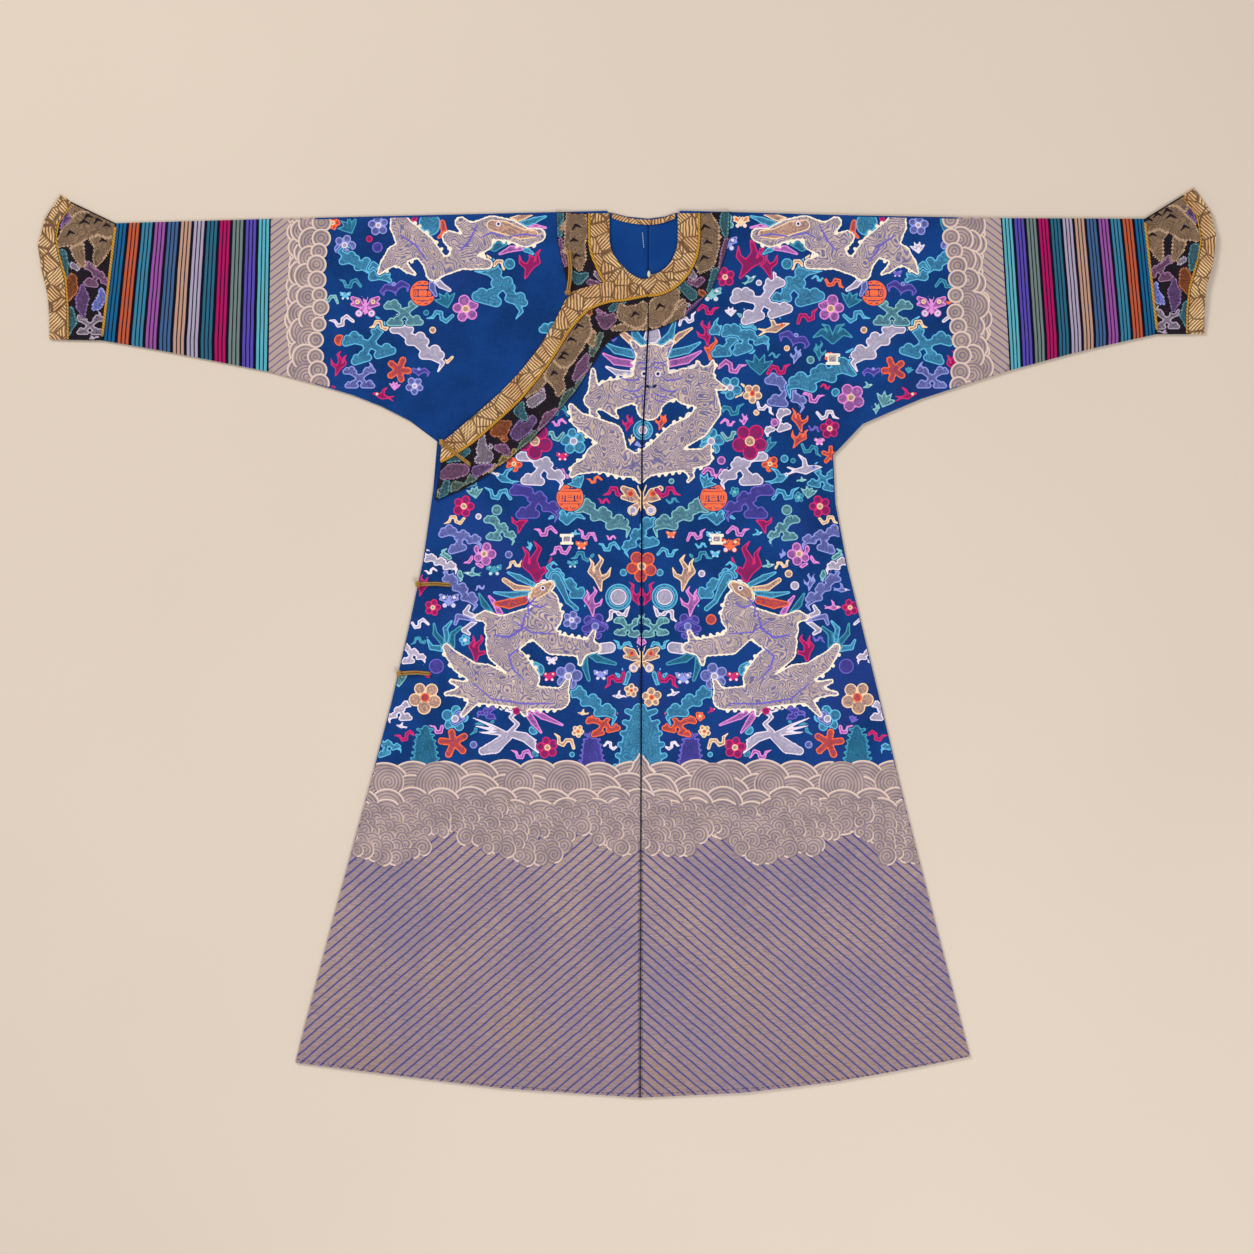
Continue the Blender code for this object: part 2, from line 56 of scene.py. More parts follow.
SILKS = {
    "turquoise": (72, 152, 188),
    "teal": (46, 122, 150),
    "mint": (104, 160, 166),
    "white": (198, 188, 206),
    "periwinkle": (118, 124, 192),
    "violet": (84, 72, 164),
    "pink": (190, 112, 184),
    "crimson": (176, 24, 88),
    "orange": (222, 86, 48),
    "peach": (226, 178, 142),
    "dragon": (222, 198, 180),
    "wave": (188, 166, 156),
    "night": (14, 20, 52),
    "taupe": (150, 122, 98),
    "dull_teal": (62, 104, 116),
    "dull_violet": (104, 76, 124),
    "dull_rust": (140, 78, 48),
    "dull_mauve": (120, 84, 116),
    "dull_lilac": (142, 128, 146),
    "dull_green": (82, 100, 92),
    "dull_olive": (128, 110, 66),
}
STRIPE_SILKS = [
    (24, 98, 146), (190, 88, 58), (58, 128, 160), (150, 82, 160), (66, 98, 142), (190, 150, 132),
    (170, 160, 186), (44, 102, 130), (176, 20, 96), (112, 130, 128), (88, 74, 176), (92, 176, 196),
]


def linear(colour):
    """A seen colour as the light it stands for."""
    parts = [c / 255 for c in colour]
    return (*[p / 12.92 if p <= 0.04045 else ((p + 0.055) / 1.055) ** 2.4 for p in parts], 1.0)


# ---- Finishes ----------------------------------------------------------------------------

class Value:
    """A number in a finish. Working with it adds Math nodes."""

    def __init__(self, finish, socket):
        self.finish = finish
        self.socket = socket

    def math(self, operation, *others):
        return self.finish.math(operation, self, *others)

    def __add__(self, other):
        return self.math("ADD", other)

    __radd__ = __add__

    def __sub__(self, other):
        return self.math("SUBTRACT", other)

    def __rsub__(self, other):
        return self.finish.math("SUBTRACT", other, self)

    def __mul__(self, other):
        return self.math("MULTIPLY", other)

    __rmul__ = __mul__

    def __truediv__(self, other):
        return self.math("DIVIDE", other)

    def __rtruediv__(self, other):
        return self.finish.math("DIVIDE", other, self)

    def fade(self, start, end):
        """0 before start and 1 after end, soft between them."""
        return self.finish.node(
            "ShaderNodeMapRange",
            {"interpolation_type": "SMOOTHSTEP"},
            {"Value": self, "From Min": start, "From Max": end},
        )

    def spread(self, start, end, low, high):
        """A straight change from low at start to high at end."""
        return self.finish.node(
            "ShaderNodeMapRange",
            {},
            {"Value": self, "From Min": start, "From Max": end, "To Min": low, "To Max": high},
        )

    def line(self, width):
        """1 on lines at every whole number and 0 between them; width is the line's share."""
        near = ((self + 0.5).math("FRACT") - 0.5).math("ABSOLUTE")
        return 1 - near.fade(width * 0.3, width * 0.75)


SILK_GLOSS = 0.06


class Finish:
    """A material, built node by node round one Principled shader."""

    def __init__(self, name, roughness, sheen=0.0):
        self.material = bpy.data.materials.new(name)
        self.material.use_nodes = True
        self.tree = self.material.node_tree
        self.shader = self.tree.nodes["Principled BSDF"]
        self.shader.inputs["Roughness"].default_value = roughness
        self.shader.inputs["Sheen Weight"].default_value = sheen
        self.shader.inputs["Specular IOR Level"].default_value = SILK_GLOSS
        self.coordinates = None

    def feed(self, socket, value):
        if isinstance(value, Value):
            self.tree.links.new(value.socket, socket)
        else:
            socket.default_value = value

    def node(self, kind, settings, inputs, output=0):
        made = self.tree.nodes.new(kind)
        for key, setting in settings.items():
            if key == "stops":
                self.set_stops(made.color_ramp, setting)
            else:
                setattr(made, key, setting)
        for key, value in inputs.items():
            self.feed(made.inputs[key], value)
        return Value(self, made.outputs[output])

    def set_stops(self, ramp, stops):
        ramp.interpolation = "CONSTANT"
        while len(ramp.elements) < len(stops):
            ramp.elements.new(1.0)
        for element, (place, colour) in zip(ramp.elements, stops):
            element.position = place
            element.color = colour

    def math(self, operation, *values):
        return self.node("ShaderNodeMath", {"operation": operation}, dict(enumerate(values)))

    def place(self):
        """Object coordinates, as a vector."""
        if self.coordinates is None:
            self.coordinates = self.node("ShaderNodeTexCoord", {}, {}, "Object")
        return self.coordinates

    def axis(self, letter):
        return self.node("ShaderNodeSeparateXYZ", {}, {0: self.place()}, letter)

    def stretched(self, x, y):
        """Object coordinates, multiplied along and across the robe."""
        return self.node(
            "ShaderNodeVectorMath", {"operation": "MULTIPLY"}, {0: self.place(), 1: (x, y, 1.0)}
        )

    def attribute(self, name):
        return self.node("ShaderNodeAttribute", {"attribute_name": name}, {}, "Fac")

    def noise(self, scale, detail, vector=None):
        return self.node(
            "ShaderNodeTexNoise",
            {},
            {"Vector": vector or self.place(), "Scale": scale, "Detail": detail},
        )

    def cells(self, scale, feature="DISTANCE_TO_EDGE", output="Distance"):
        return self.node(
            "ShaderNodeTexVoronoi",
            {"feature": feature},
            {"Vector": self.place(), "Scale": scale},
            output,
        )

    def mix(self, factor, a, b):
        return self.node(
            "ShaderNodeMix", {"data_type": "RGBA"}, {0: factor, 6: a, 7: b}, 2
        )

    def times(self, colour, value):
        return self.node(
            "ShaderNodeMix",
            {"data_type": "RGBA", "blend_type": "MULTIPLY"},
            {0: 1.0, 6: colour, 7: value},
            2,
        )

    def bump(self, height, distance, strength):
        normal = self.node(
            "ShaderNodeBump",
            {},
            {"Height": height, "Distance": distance, "Strength": strength},
        )
        self.feed(self.shader.inputs["Normal"], normal)

    def done(self, colour, roughness=None):
        self.feed(self.shader.inputs["Base Color"], colour)
        if roughness is not None:
            self.feed(self.shader.inputs["Roughness"], roughness)
        return self.material


WARP = 2600.0
WEFT = 1500.0


def weave(finish):
    """Height of a satin weave: long floats crossed by finer threads, in slightly uneven rows."""
    floats = finish.noise(1.0, 1.0, finish.stretched(WARP, WARP * 0.12))
    threads = finish.noise(1.0, 1.0, finish.stretched(WEFT * 0.1, WEFT))
    return floats * 0.6 + threads * 0.4


def seam_across(finish):
    """Distance from the centre seam, in metres."""
    x, y = finish.axis("X"), finish.axis("Y")
    hem, waist, bend = [place * MM for place in SEAM["y"][:3]]
    at_hem, at_waist, at_bend = [place * MM for place in SEAM["x"][:3]]
    seam = y.spread(hem, waist, at_hem, at_waist) + y.spread(waist, bend, 0.0, at_bend - at_waist)
    return (x - seam).math("ABSOLUTE")


# The hem's stripes start at HEM_TOP and the sleeve bands' past these distances, each with a soft edge.
HEM_TOP = -0.195
SOFT_HEM = 0.010
SLEEVE_BANDS = {"right": -0.497, "left": 0.527}
SOFT_BAND = 0.006
STRIPE_PITCH = 0.0158
STRIPE_SLOPE = 0.86
BAND_PITCH = 0.0118
BAND_SLOPE = 0.78
# The painted shade along the centre seam's groove fades out between these distances from it, in metres.
SEAM_SHADE_REACH = (0.0004, 0.0030)


def worn_silk(finish, y, streak):
    """The hem's rubbed ground, greyer in patches and browner towards the edge."""
    low = y.spread(-0.35, -0.72, 0.0, 1.0)
    warm = finish.mix(low, linear((198, 172, 156)), linear((176, 148, 130)))
    worn = finish.mix(finish.noise(7.0, 4.0).fade(0.3, 0.7), warm, linear((166, 146, 152)))
    worn = finish.mix(streak.fade(0.35, 0.7) * 0.6, worn, linear((122, 100, 98)))
    return finish.mix(finish.noise(260.0, 2.0).fade(0.5, 0.8) * 0.3, worn, linear((104, 98, 136)))


def ground_silk():
    """The robe's own cloth: blue satin above, a wave ground and slanting stripes below."""
    finish = Finish("figured_silk", 0.5, 0.03)
    x, y = finish.axis("X"), finish.axis("Y")
    across = seam_across(finish)
    cloud = finish.noise(9.0, 3.0)
    streak = finish.noise(1.0, 3.0, finish.stretched(55.0, 900.0))
    slub = finish.noise(1.0, 2.0, finish.stretched(900.0, 40.0))
    blue = finish.mix(cloud.fade(0.35, 0.65), linear((4, 46, 104)), linear((10, 60, 130)))
    blue = finish.mix(finish.noise(4.0, 2.0).fade(0.52, 0.75) * 0.5, blue, linear((40, 48, 126)))
    blue = finish.mix((streak - 0.5) * 0.6 + (slub - 0.5) * 0.4 + 0.12, blue, linear((40, 84, 156)))
    wander = (finish.noise(38.0, 2.0) - 0.5) * 0.0032
    slant = (y + across * STRIPE_SLOPE + wander) / STRIPE_PITCH
    stripe = slant.line(0.21) * (0.6 + 0.7 * finish.noise(70.0, 2.0))
    rib = ((slant - 0.5) * 4).line(0.4) * 0.24
    fleck = finish.noise(1.0, 3.0, finish.stretched(130.0, 420.0)).fade(0.56, 0.72) * 0.34
    ink = (stripe + rib + fleck).math("MINIMUM", 0.92)
    striped = finish.mix(ink, worn_silk(finish, y, streak), linear((58, 62, 140)))
    hem = y.fade(HEM_TOP, HEM_TOP - SOFT_HEM)
    right_band = x.fade(SLEEVE_BANDS["right"], SLEEVE_BANDS["right"] - SOFT_BAND)
    left_band = x.fade(SLEEVE_BANDS["left"], SLEEVE_BANDS["left"] + SOFT_BAND)
    sleeve = (right_band + left_band).math("MINIMUM", 1.0)
    tilt = (y + x.math("ABSOLUTE") * BAND_SLOPE + wander) / BAND_PITCH
    banded = finish.mix(tilt.line(0.2) * 0.8, linear((184, 162, 154)), linear((74, 78, 140)))
    colour = finish.mix(hem, blue, striped)
    colour = finish.mix(sleeve * (1 - hem), colour, banded)
    # Painted shade: the silk darkens towards the centre seam, standing for the shadow in its groove.
    groove_shade = across.fade(*SEAM_SHADE_REACH)
    colour = finish.times(colour, groove_shade * 0.86 + 0.14)
    finish.bump(weave(finish) + stripe * hem * 0.5, 0.00035, 0.6)
    return finish.done(colour, 0.42 + 0.25 * cloud)


def lining_silk():
    """Plain blue lining with its centre-back seam, painted darker along it as the shade in its groove."""
    finish = Finish("lining_silk", 0.5, 0.03)
    across = seam_across(finish)
    cloud = finish.noise(14.0, 3.0)
    colour = finish.mix(cloud, linear((4, 48, 116)), linear((18, 72, 142)))
    # Painted shade: a dark line down the centre-back seam stands for the shadow in its groove.
    edge = across.fade(0.0004, 0.0016)
    colour = finish.mix(1 - edge, colour, linear((4, 26, 74)))
    finish.bump(weave(finish) * 0.3 + across.fade(0.0, 0.004), 0.0008, 0.8)
    return finish.done(colour, 0.45 + 0.2 * cloud)


def figure_silk(name, colour, look):
    """A woven figure: a pale rim, then fine lines that repeat its outline inwards."""
    finish = Finish(name, 0.5)
    edge = finish.attribute("edge")
    wobble = (finish.noise(look["wobble_scale"], 1.0) - 0.5) * look["wobble"]
    inside = (edge - look["rim"] * 0.9).fade(0.0, look["rim"] * 0.35)
    lines = ((edge + wobble) / look["gap"]).line(look["share"]) * look["ink"]
    maze = (finish.noise(look["maze_scale"], 0.6) * look["turns"]).line(0.40) * look["maze"]
    base = linear(colour)
    pale = linear(tuple(min(255, c * 1.12 + 22) for c in colour))
    deep = linear(tuple(c * 0.88 for c in colour))
    tone = finish.mix(finish.noise(48.0, 2.0).fade(0.3, 0.7), base, deep)
    tone = finish.mix(inside, pale, tone)
    ink = lines.math("MAXIMUM", maze) * inside
    if look["scales"]:
        scales = 1 - finish.cells(look["scales"]).fade(0.04, 0.2)
        ink = ink + scales * 0.22 * inside
    ink = ink * (0.75 + 0.5 * finish.noise(40.0, 1.0))
    tone = finish.mix(ink.math("MINIMUM", 0.88), tone, linear(look["ground"]))
    finish.bump(weave(finish) * 0.4 - ink, 0.0003, 0.7)
    return finish.done(tone, 0.48 + 0.2 * finish.noise(90.0, 1.0))


def dark_silk():
    """Near-black figured silk of the cuffs and borders."""
    finish = Finish("dark_silk", 0.55)
    fleck = finish.noise(420.0, 2.0)
    colour = finish.mix(finish.noise(30.0, 2.0), linear((18, 15, 20)), linear((38, 32, 42)))
    colour = finish.mix(fleck.fade(0.6, 0.75) * 0.6, colour, linear((84, 66, 60)))
    finish.bump(weave(finish), 0.0003, 0.6)
    return finish.done(colour, 0.5 + 0.2 * fleck)


def gold_brocade():
    """Gold brocade: blocks of dark fret lines that turn from one block to the next."""
    finish = Finish("gold_brocade", 0.46)
    x, y = finish.axis("X"), finish.axis("Y")
    wander = (finish.noise(60.0, 2.0) - 0.5) * 0.006
    rising = ((x + y + wander) / 0.0060).line(0.42)
    falling = ((x - y + wander) / 0.0060).line(0.42)
    square = ((x + wander) / 0.0050).line(0.42)
    colour_of_block = finish.cells(40.0, "F1", "Color")
    pick = finish.node("ShaderNodeSeparateColor", {}, {0: colour_of_block}, 0)
    first = pick.fade(0.38, 0.40)
    second = pick.fade(0.72, 0.74)
    lines = rising * (1 - first) + falling * first * (1 - second) + square * second
    block = 1 - finish.cells(40.0).fade(0.02, 0.07)
    ink = lines.math("MAXIMUM", block) * (0.5 + 0.8 * finish.noise(120.0, 1.0))
    worn = finish.noise(26.0, 3.0).fade(0.3, 0.7)
    gold = finish.mix(worn, linear((216, 168, 118)), linear((244, 206, 152)))
    colour = finish.mix(ink.math("MINIMUM", 0.86), gold, linear((74, 42, 30)))
    finish.bump(weave(finish) * 0.3 - ink, 0.0005, 0.8)
    return finish.done(colour, 0.4 + 0.25 * ink)


def striped_silk():
    """Coloured ribs woven in groups across the sleeve, on near-black silk."""
    finish = Finish("striped_silk", 0.5)
    station = finish.attribute("station") + (finish.noise(26.0, 1.0) - 0.5) * 0.004
    groups = len(STRIPE_SILKS)
    stops = [(k / groups, linear(colour)) for k, colour in enumerate(STRIPE_SILKS)]
    silk = finish.node("ShaderNodeValToRGB", {"stops": stops}, {"Fac": station})
    within = (station * groups).math("FRACT")
    inside = (within - 0.05).fade(0.0, 0.02) * (1 - (within - 0.90).fade(0.0, 0.03))
    rib = ((within - 0.05) / 0.286).math("FRACT")
    ridge = (rib - 0.5).math("ABSOLUTE")
    body = 1 - ridge.fade(0.30, 0.43)
    light = 0.72 + 0.5 * finish.noise(1.0, 2.0, finish.stretched(700.0, 30.0))
    lit = finish.times(silk, light * (1.08 - 0.5 * ridge))
    night = finish.mix(finish.noise(50.0, 1.0), linear((4, 5, 20)), linear((14, 15, 36)))
    colour = finish.mix(inside * body, night, lit)
    finish.bump(inside * body + weave(finish) * 0.2, 0.0006, 0.8)
    return finish.done(colour, 0.5)


def cord_silk(name, light, dark, pitch):
    """Twisted silk piping and cord: slanting strands with grooves between them, darkened as painted shade."""
    finish = Finish(name, 0.45)
    strand = (finish.axis("X") * 0.9 + finish.axis("Y") * 0.75 + finish.axis("Z") * 0.6) / pitch
    groove_shade = strand.line(0.5) * 0.62
    tone = finish.mix(finish.noise(140.0, 2.0), linear(light), linear(dark))
    # Painted shade: the grooves between the strands are darkened.
    tone = finish.mix(groove_shade, tone, linear(tuple(c * 0.4 for c in dark)))
    finish.bump(1 - groove_shade, 0.0006, 0.8)
    return finish.done(tone, 0.42 + 0.2 * finish.noise(60.0, 1.0))


def plain(name, light, dark, roughness, scale=60.0):
    """A simple finish with a little variation of tone and height."""
    finish = Finish(name, roughness)
    vary = finish.noise(scale, 3.0)
    finish.bump(vary, 0.0002, 0.4)
    return finish.done(finish.mix(vary, linear(light), linear(dark)), roughness + 0.1 * vary)


FINISH = {
    "figured_silk": ground_silk(),
    "lining_silk": lining_silk(),
    "dark_silk": dark_silk(),
    "gold_brocade": gold_brocade(),
    "striped_silk": striped_silk(),
    "yellow_piping": cord_silk("yellow_piping", (236, 180, 70), (204, 142, 48), 0.0042),
    "gold_cord": cord_silk("gold_cord", (220, 172, 96), (166, 120, 56), 0.0024),
    "ivory_bead": plain("ivory_bead", (232, 224, 204), (206, 194, 168), 0.3),
    "seam_thread": plain("seam_thread", (14, 20, 52), (34, 40, 84), 0.6, 300.0),
    "white_thread": plain("white_thread", (222, 218, 210), (190, 186, 180), 0.6, 300.0),
}
# How a figure is woven: its pale rim, and lines a gap apart that follow its outline and wobble, both
# in millimetres, a maze of fine turns, scales to a metre, and the silk that shows between.
SMALL_LOOK = {
    "rim": 1.5, "gap": 4.4, "share": 0.4, "ink": 0.34, "wobble": 3.2, "wobble_scale": 150.0,
    "maze": 0.52, "maze_scale": 50.0, "turns": 12.0, "scales": 0, "ground": (26, 52, 126),
}
WOVEN_LOOKS = {
    "white": SMALL_LOOK | {"maze": 0.42, "ground": (112, 118, 176)},
    "wave": SMALL_LOOK | {
        "rim": 2.2, "gap": 5.2, "share": 0.36, "ink": 0.56, "maze": 0.0, "wobble": 0.7,
        "ground": (66, 68, 132),
    },
    "dragon": SMALL_LOOK | {
        "rim": 2.2, "gap": 5.4, "share": 0.34, "ink": 0.16, "maze": 0.7, "maze_scale": 40.0,
        "turns": 17.0, "scales": 150.0, "ground": (88, 88, 154),
    },
}
DARK_LOOK = SMALL_LOOK | {"ink": 0.3, "maze": 0.5, "ground": (24, 18, 22)}
for silk_name, silk_colour in SILKS.items():
    on_dark = silk_name.startswith("dull") or silk_name == "taupe"
    look = WOVEN_LOOKS.get(silk_name, DARK_LOOK if on_dark else SMALL_LOOK)
    FINISH[silk_name] = figure_silk("silk_" + silk_name, silk_colour, look)


# ---- The robe's outline, in millimetres ----------------------------------------------------

SIDES = {
    "y": [-673, -412, -252, -92, 68, 148, 228, 322],
    "right": [-531, -462, -418, -376, -339, -323, -312, -303],
    "left": [552, 484, 443, 405, 366, 346, 333, 329],
}
TOP = {"x": [-570, -107, 34, 165, 341, 598], "y": [677, 687, 689, 688, 683, 678]}
UNDERARM = {
    "x": [-574, -451, -390, -334, -304, 330, 373, 464, 613],
    "y": [434, 401, 377, 348, 322, 300, 348, 388, 436],
}
LAPEL_TOP = {
    "x": [34, -21, -75, -93, -101, -120, -142, -166, -198, -237, -274, -296],
    "y": [582, 580, 566, 560, 543, 505, 470, 439, 404, 369, 338, 320],
}
LAPEL_LOW = {
    "x": [34, -5, -34, -62, -82, -96, -120, -142, -176, -213, -246, -278, -299],
    "y": [558, 550, 548, 536, 517, 499, 459, 428, 387, 353, 324, 302, 291],
}
SLEEVE_SEAM = {"right": -570, "left": 606}
SKIRT_TOP = 330


def seam_x(y):
    """Where the centre seam lies across the robe."""
    return np.interp(y, SEAM["y"], SEAM["x"])


def robe_field(x, y):
    """Distance outside the robe's body, negative within it."""
    right, left = (np.interp(y, SIDES["y"], SIDES[side]) for side in ("right", "left"))
    skirt = np.maximum(np.maximum(right - x, x - left), y - SKIRT_TOP)
    underarm, top = (np.interp(x, line["x"], line["y"]) for line in (UNDERARM, TOP))
    arms = np.maximum(underarm - y, y - top)
    arms = np.maximum(arms, np.maximum(SLEEVE_SEAM["right"] - x, x - SLEEVE_SEAM["left"]))
    return np.minimum(skirt, arms)


# ---- Creases ------------------------------------------------------------------------------

# In millimetres: the front's creases grow from FOLD_FLOOR to FOLD_TOP. The back's are the same ones
# turned over about BACK_SHIFT / 2, lower and cut off at BACK_CREASE, and fade out by BACK_FADE.
FOLD_FLOOR = 1.2
FOLD_TOP = 8.5
BACK_FADE = 2.4
BACK_SHARE = 0.4
BACK_SHIFT = 44
BACK_CREASE = 3.4
CREASE_GAIN = 1.5
CREASES = {
    "x0": [-560, -500, -430, -330, -300, -250, -300, -330, 590, 520, 450, 350, 330, 300, 350,
           -60, -150, -240, -320, -400, 80, 140, 250, 330, 420, 60, -40, 180, -210, 260, -800, 810],
    "y0": [650, 470, 430, 400, 340, 250, 120, -60, 640, 470, 430, 380, 330, 210, 40,
           -380, -300, -260, -330, -430, -340, -420, -280, -330, -400, 20, -60, 120, 90, -80, 600, 610],
    "x1": [-300, -360, -310, -240, -210, -120, -180, -230, 330, 380, 340, 270, 240, 180, 240,
           -90, -190, -310, -370, -470, 90, 190, 300, 410, 500, 150, -160, 300, -60, 150, -640, 660],
    "y1": [560, 560, 520, 470, 390, 220, 60, -90, 560, 560, 500, 470, 380, 160, 20,
           -700, -640, -600, -670, -650, -700, -690, -650, -640, -630, -20, -90, 100, 60, -110, 590, 560],
    "width": [22, 16, 12, 18, 14, 20, 17, 24, 24, 15, 12, 18, 14, 18, 22,
              26, 34, 24, 20, 30, 22, 36, 24, 30, 22, 16, 20, 18, 22, 17, 16, 18],
    "height": [1.6, 1.3, 1.0, 1.5, 1.2, 1.1, 1.2, 1.0, 1.7, 1.2, 1.0, 1.5, 1.3, 1.2, 1.1,
               1.7, 2.4, 1.6, 1.3, 1.8, 1.5, 2.6, 1.7, 2.2, 1.4, 0.8, 0.9, 0.9, 0.8, 0.8, 1.1, 1.2],
}


def pucker_table():
    """Short ridges that run out of the centre seam, uneven in length, depth and spacing."""
    draw = random.Random(41)
    rows = []
    y = -715.0
    while y < 480:
        side = draw.choice([-1, 1])
        x = float(seam_x(y)) + side * 5
        end_x = x + side * draw.uniform(14, 42)
        end_y = y + draw.uniform(-8, 8)
        width, height = draw.uniform(4, 7), draw.uniform(0.3, 0.9)
        rows.append((x, y, end_x, end_y, width, height))
        y += draw.uniform(9, 30)
    return rows


RIDGES = list(zip(*CREASES.values())) + pucker_table()


def crease_height(x, y):
    """How high the soft creases stand at these places, in millimetres."""
    total = np.zeros_like(x)
    for x0, y0, x1, y1, width, height in RIDGES:
        span = width * 3
        near = (x > min(x0, x1) - span) & (x < max(x0, x1) + span)
        near &= (y > min(y0, y1) - span) & (y < max(y0, y1) + span)
        if not near.any():
            continue
        px, py = x[near], y[near]
        length_squared = (x1 - x0) ** 2 + (y1 - y0) ** 2
        along = ((px - x0) * (x1 - x0) + (py - y0) * (y1 - y0)) / length_squared
        held = np.clip(along, 0, 1)
        away = (px - x0 - held * (x1 - x0)) ** 2 + (py - y0 - held * (y1 - y0)) ** 2
        swell = 0.55 + 0.45 * np.sin(math.pi * held) ** 2
        total[near] += CREASE_GAIN * height * swell * np.exp(-away / width ** 2)
    return total


def creased(points):
    """Points in metres, lifted by the front's creases in step with their height, and the back's."""
    x, y, z = points.T / MM
    front = np.clip((z - FOLD_FLOOR) / (FOLD_TOP - FOLD_FLOOR), 0, 1.2)
    back = np.clip((BACK_FADE - z) / (BACK_FADE - FOLD_FLOOR), 0, 1) * BACK_SHARE
    lifted = points.copy()
    lifted[:, 2] += front * crease_height(x, y) * MM
    lifted[:, 2] += back * np.minimum(crease_height(BACK_SHIFT - x, y), BACK_CREASE) * MM
    return lifted


# ---- Pieces -------------------------------------------------------------------------------

def new_piece(name, mesh, finish):
    """An object that rides on the robe's one body."""
    piece = bpy.data.objects.new(name, mesh)
    scene.collection.objects.link(piece)
    if not mesh.materials:
        mesh.materials.append(FINISH[finish])
    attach(piece, "root")
    return piece


def mesh_points(mesh):
    points = np.empty(len(mesh.vertices) * 3)
    mesh.vertices.foreach_get("co", points)
    return points.reshape(-1, 3)


def set_points(mesh, points):
    mesh.vertices.foreach_set("co", points.ravel())
    mesh.update()


def fine_mesh(node, levels):
    """A copy of a CAD node's shell, merged, back in quads and finely divided."""
    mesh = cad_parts[node].data.copy()
    bm = bmesh.new()
    bm.from_mesh(mesh)
    bmesh.ops.remove_doubles(bm, verts=bm.verts, dist=1e-6)
    bmesh.ops.join_triangles(
        bm, faces=bm.faces, angle_face_threshold=0.7, angle_shape_threshold=1.2
    )
    bm.to_mesh(mesh)
    bm.free()
    mesh.materials.clear()
    holder = bpy.data.objects.new("dividing", mesh)
    scene.collection.objects.link(holder)
    divide = holder.modifiers.new("divide", "SUBSURF")
    divide.subdivision_type = "SIMPLE"
    divide.levels = levels
    divide.render_levels = levels
    shaped = holder.evaluated_get(bpy.context.evaluated_depsgraph_get())
    fine = bpy.data.meshes.new_from_object(shaped)
    bpy.data.objects.remove(holder)
    return fine


# A sleeve's two seams, from the underarm to the top.
CUFF_SEAM = {
    "right": {"y": [484, 671], "x": [-840, -819]}, "left": {"y": [494, 678], "x": [848, 829]},
}
BODY_SEAM = {
    "right": {"y": [434, 678], "x": [-574, -570]}, "left": {"y": [436, 679], "x": [613, 598]},
}


def sleeve_station(mesh, side):
    """Give a sleeve its station attribute: 0 at the cuff seam and 1 at the body seam."""
    points = mesh_points(mesh) / MM
    cuff_x = np.interp(points[:, 1], CUFF_SEAM[side]["y"], CUFF_SEAM[side]["x"])
    body_x = np.interp(points[:, 1], BODY_SEAM[side]["y"], BODY_SEAM[side]["x"])
    station = mesh.attributes.new("station", "FLOAT", "POINT")
    station.data.foreach_set("value", (points[:, 0] - cuff_x) / (body_x - cuff_x))


NECK_TOP = 678
NECK_DRAWN_UP = 0.45
LAPEL_START = 603
NECK_DRAWN_DOWN = 0.5
BACK_TOP = 1.7


def reached(points, name):
    """Trims drawn out at the neck: up to the shoulder fold, and down to run in under the lapel."""
    moved = points.copy()
    y = points[:, 1] / MM
    if "band_back" not in name and "lapel" not in name and "cuff" not in name:
        moved[:, 1] += np.maximum(y - NECK_TOP, 0) * NECK_DRAWN_UP * MM
    if "yoke" in name or name.endswith("_right") and "neck" in name:
        moved[:, 1] -= np.maximum(LAPEL_START - y, 0) * NECK_DRAWN_DOWN * MM
    return moved


def bake_map(mesh):
    """Flat maps for the bake: top and under faces side by side, the upper layer over the lowest."""
    layer = mesh.uv_layers.new(name="OFBake")
    points = mesh_points(mesh)
    low = points.min(axis=0)
    span = np.maximum(points.max(axis=0) - low, 1e-6)
    split = low[2] < BACK_TOP * MM < points[:, 2].max()
    tall = 0.5 if split else 1.0
    for face in mesh.polygons:
        column = 0 if face.normal.z >= 0 else 1
        row = 1 if split and face.center.z > BACK_TOP * MM else 0
        for loop in face.loop_indices:
            across, down = (points[mesh.loops[loop].vertex_index] - low)[:2] / span[:2]
            u = column * 0.5 + 0.01 + across * 0.48
            layer.data[loop].uv = (u, (row + 0.02 + down * 0.96) * tall)


def cloth_piece(name, node, finish, flat, rests_on, station=None):
    """The fine, creased cloth that stands for one CAD piece."""
    mesh = fine_mesh(node, PANEL_LEVELS)
    if "band" in name or "border" in name:
        set_points(mesh, reached(mesh_points(mesh), name))
    if station:
        sleeve_station(mesh, station)
    bake_map(mesh)
    set_points(mesh, creased(mesh_points(mesh)))
    mesh.shade_smooth()
    mesh.set_sharp_from_angle(angle=math.radians(40))
    piece = new_piece(name, mesh, finish)
    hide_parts(node)
    return piece


PANEL_LEVELS = 3
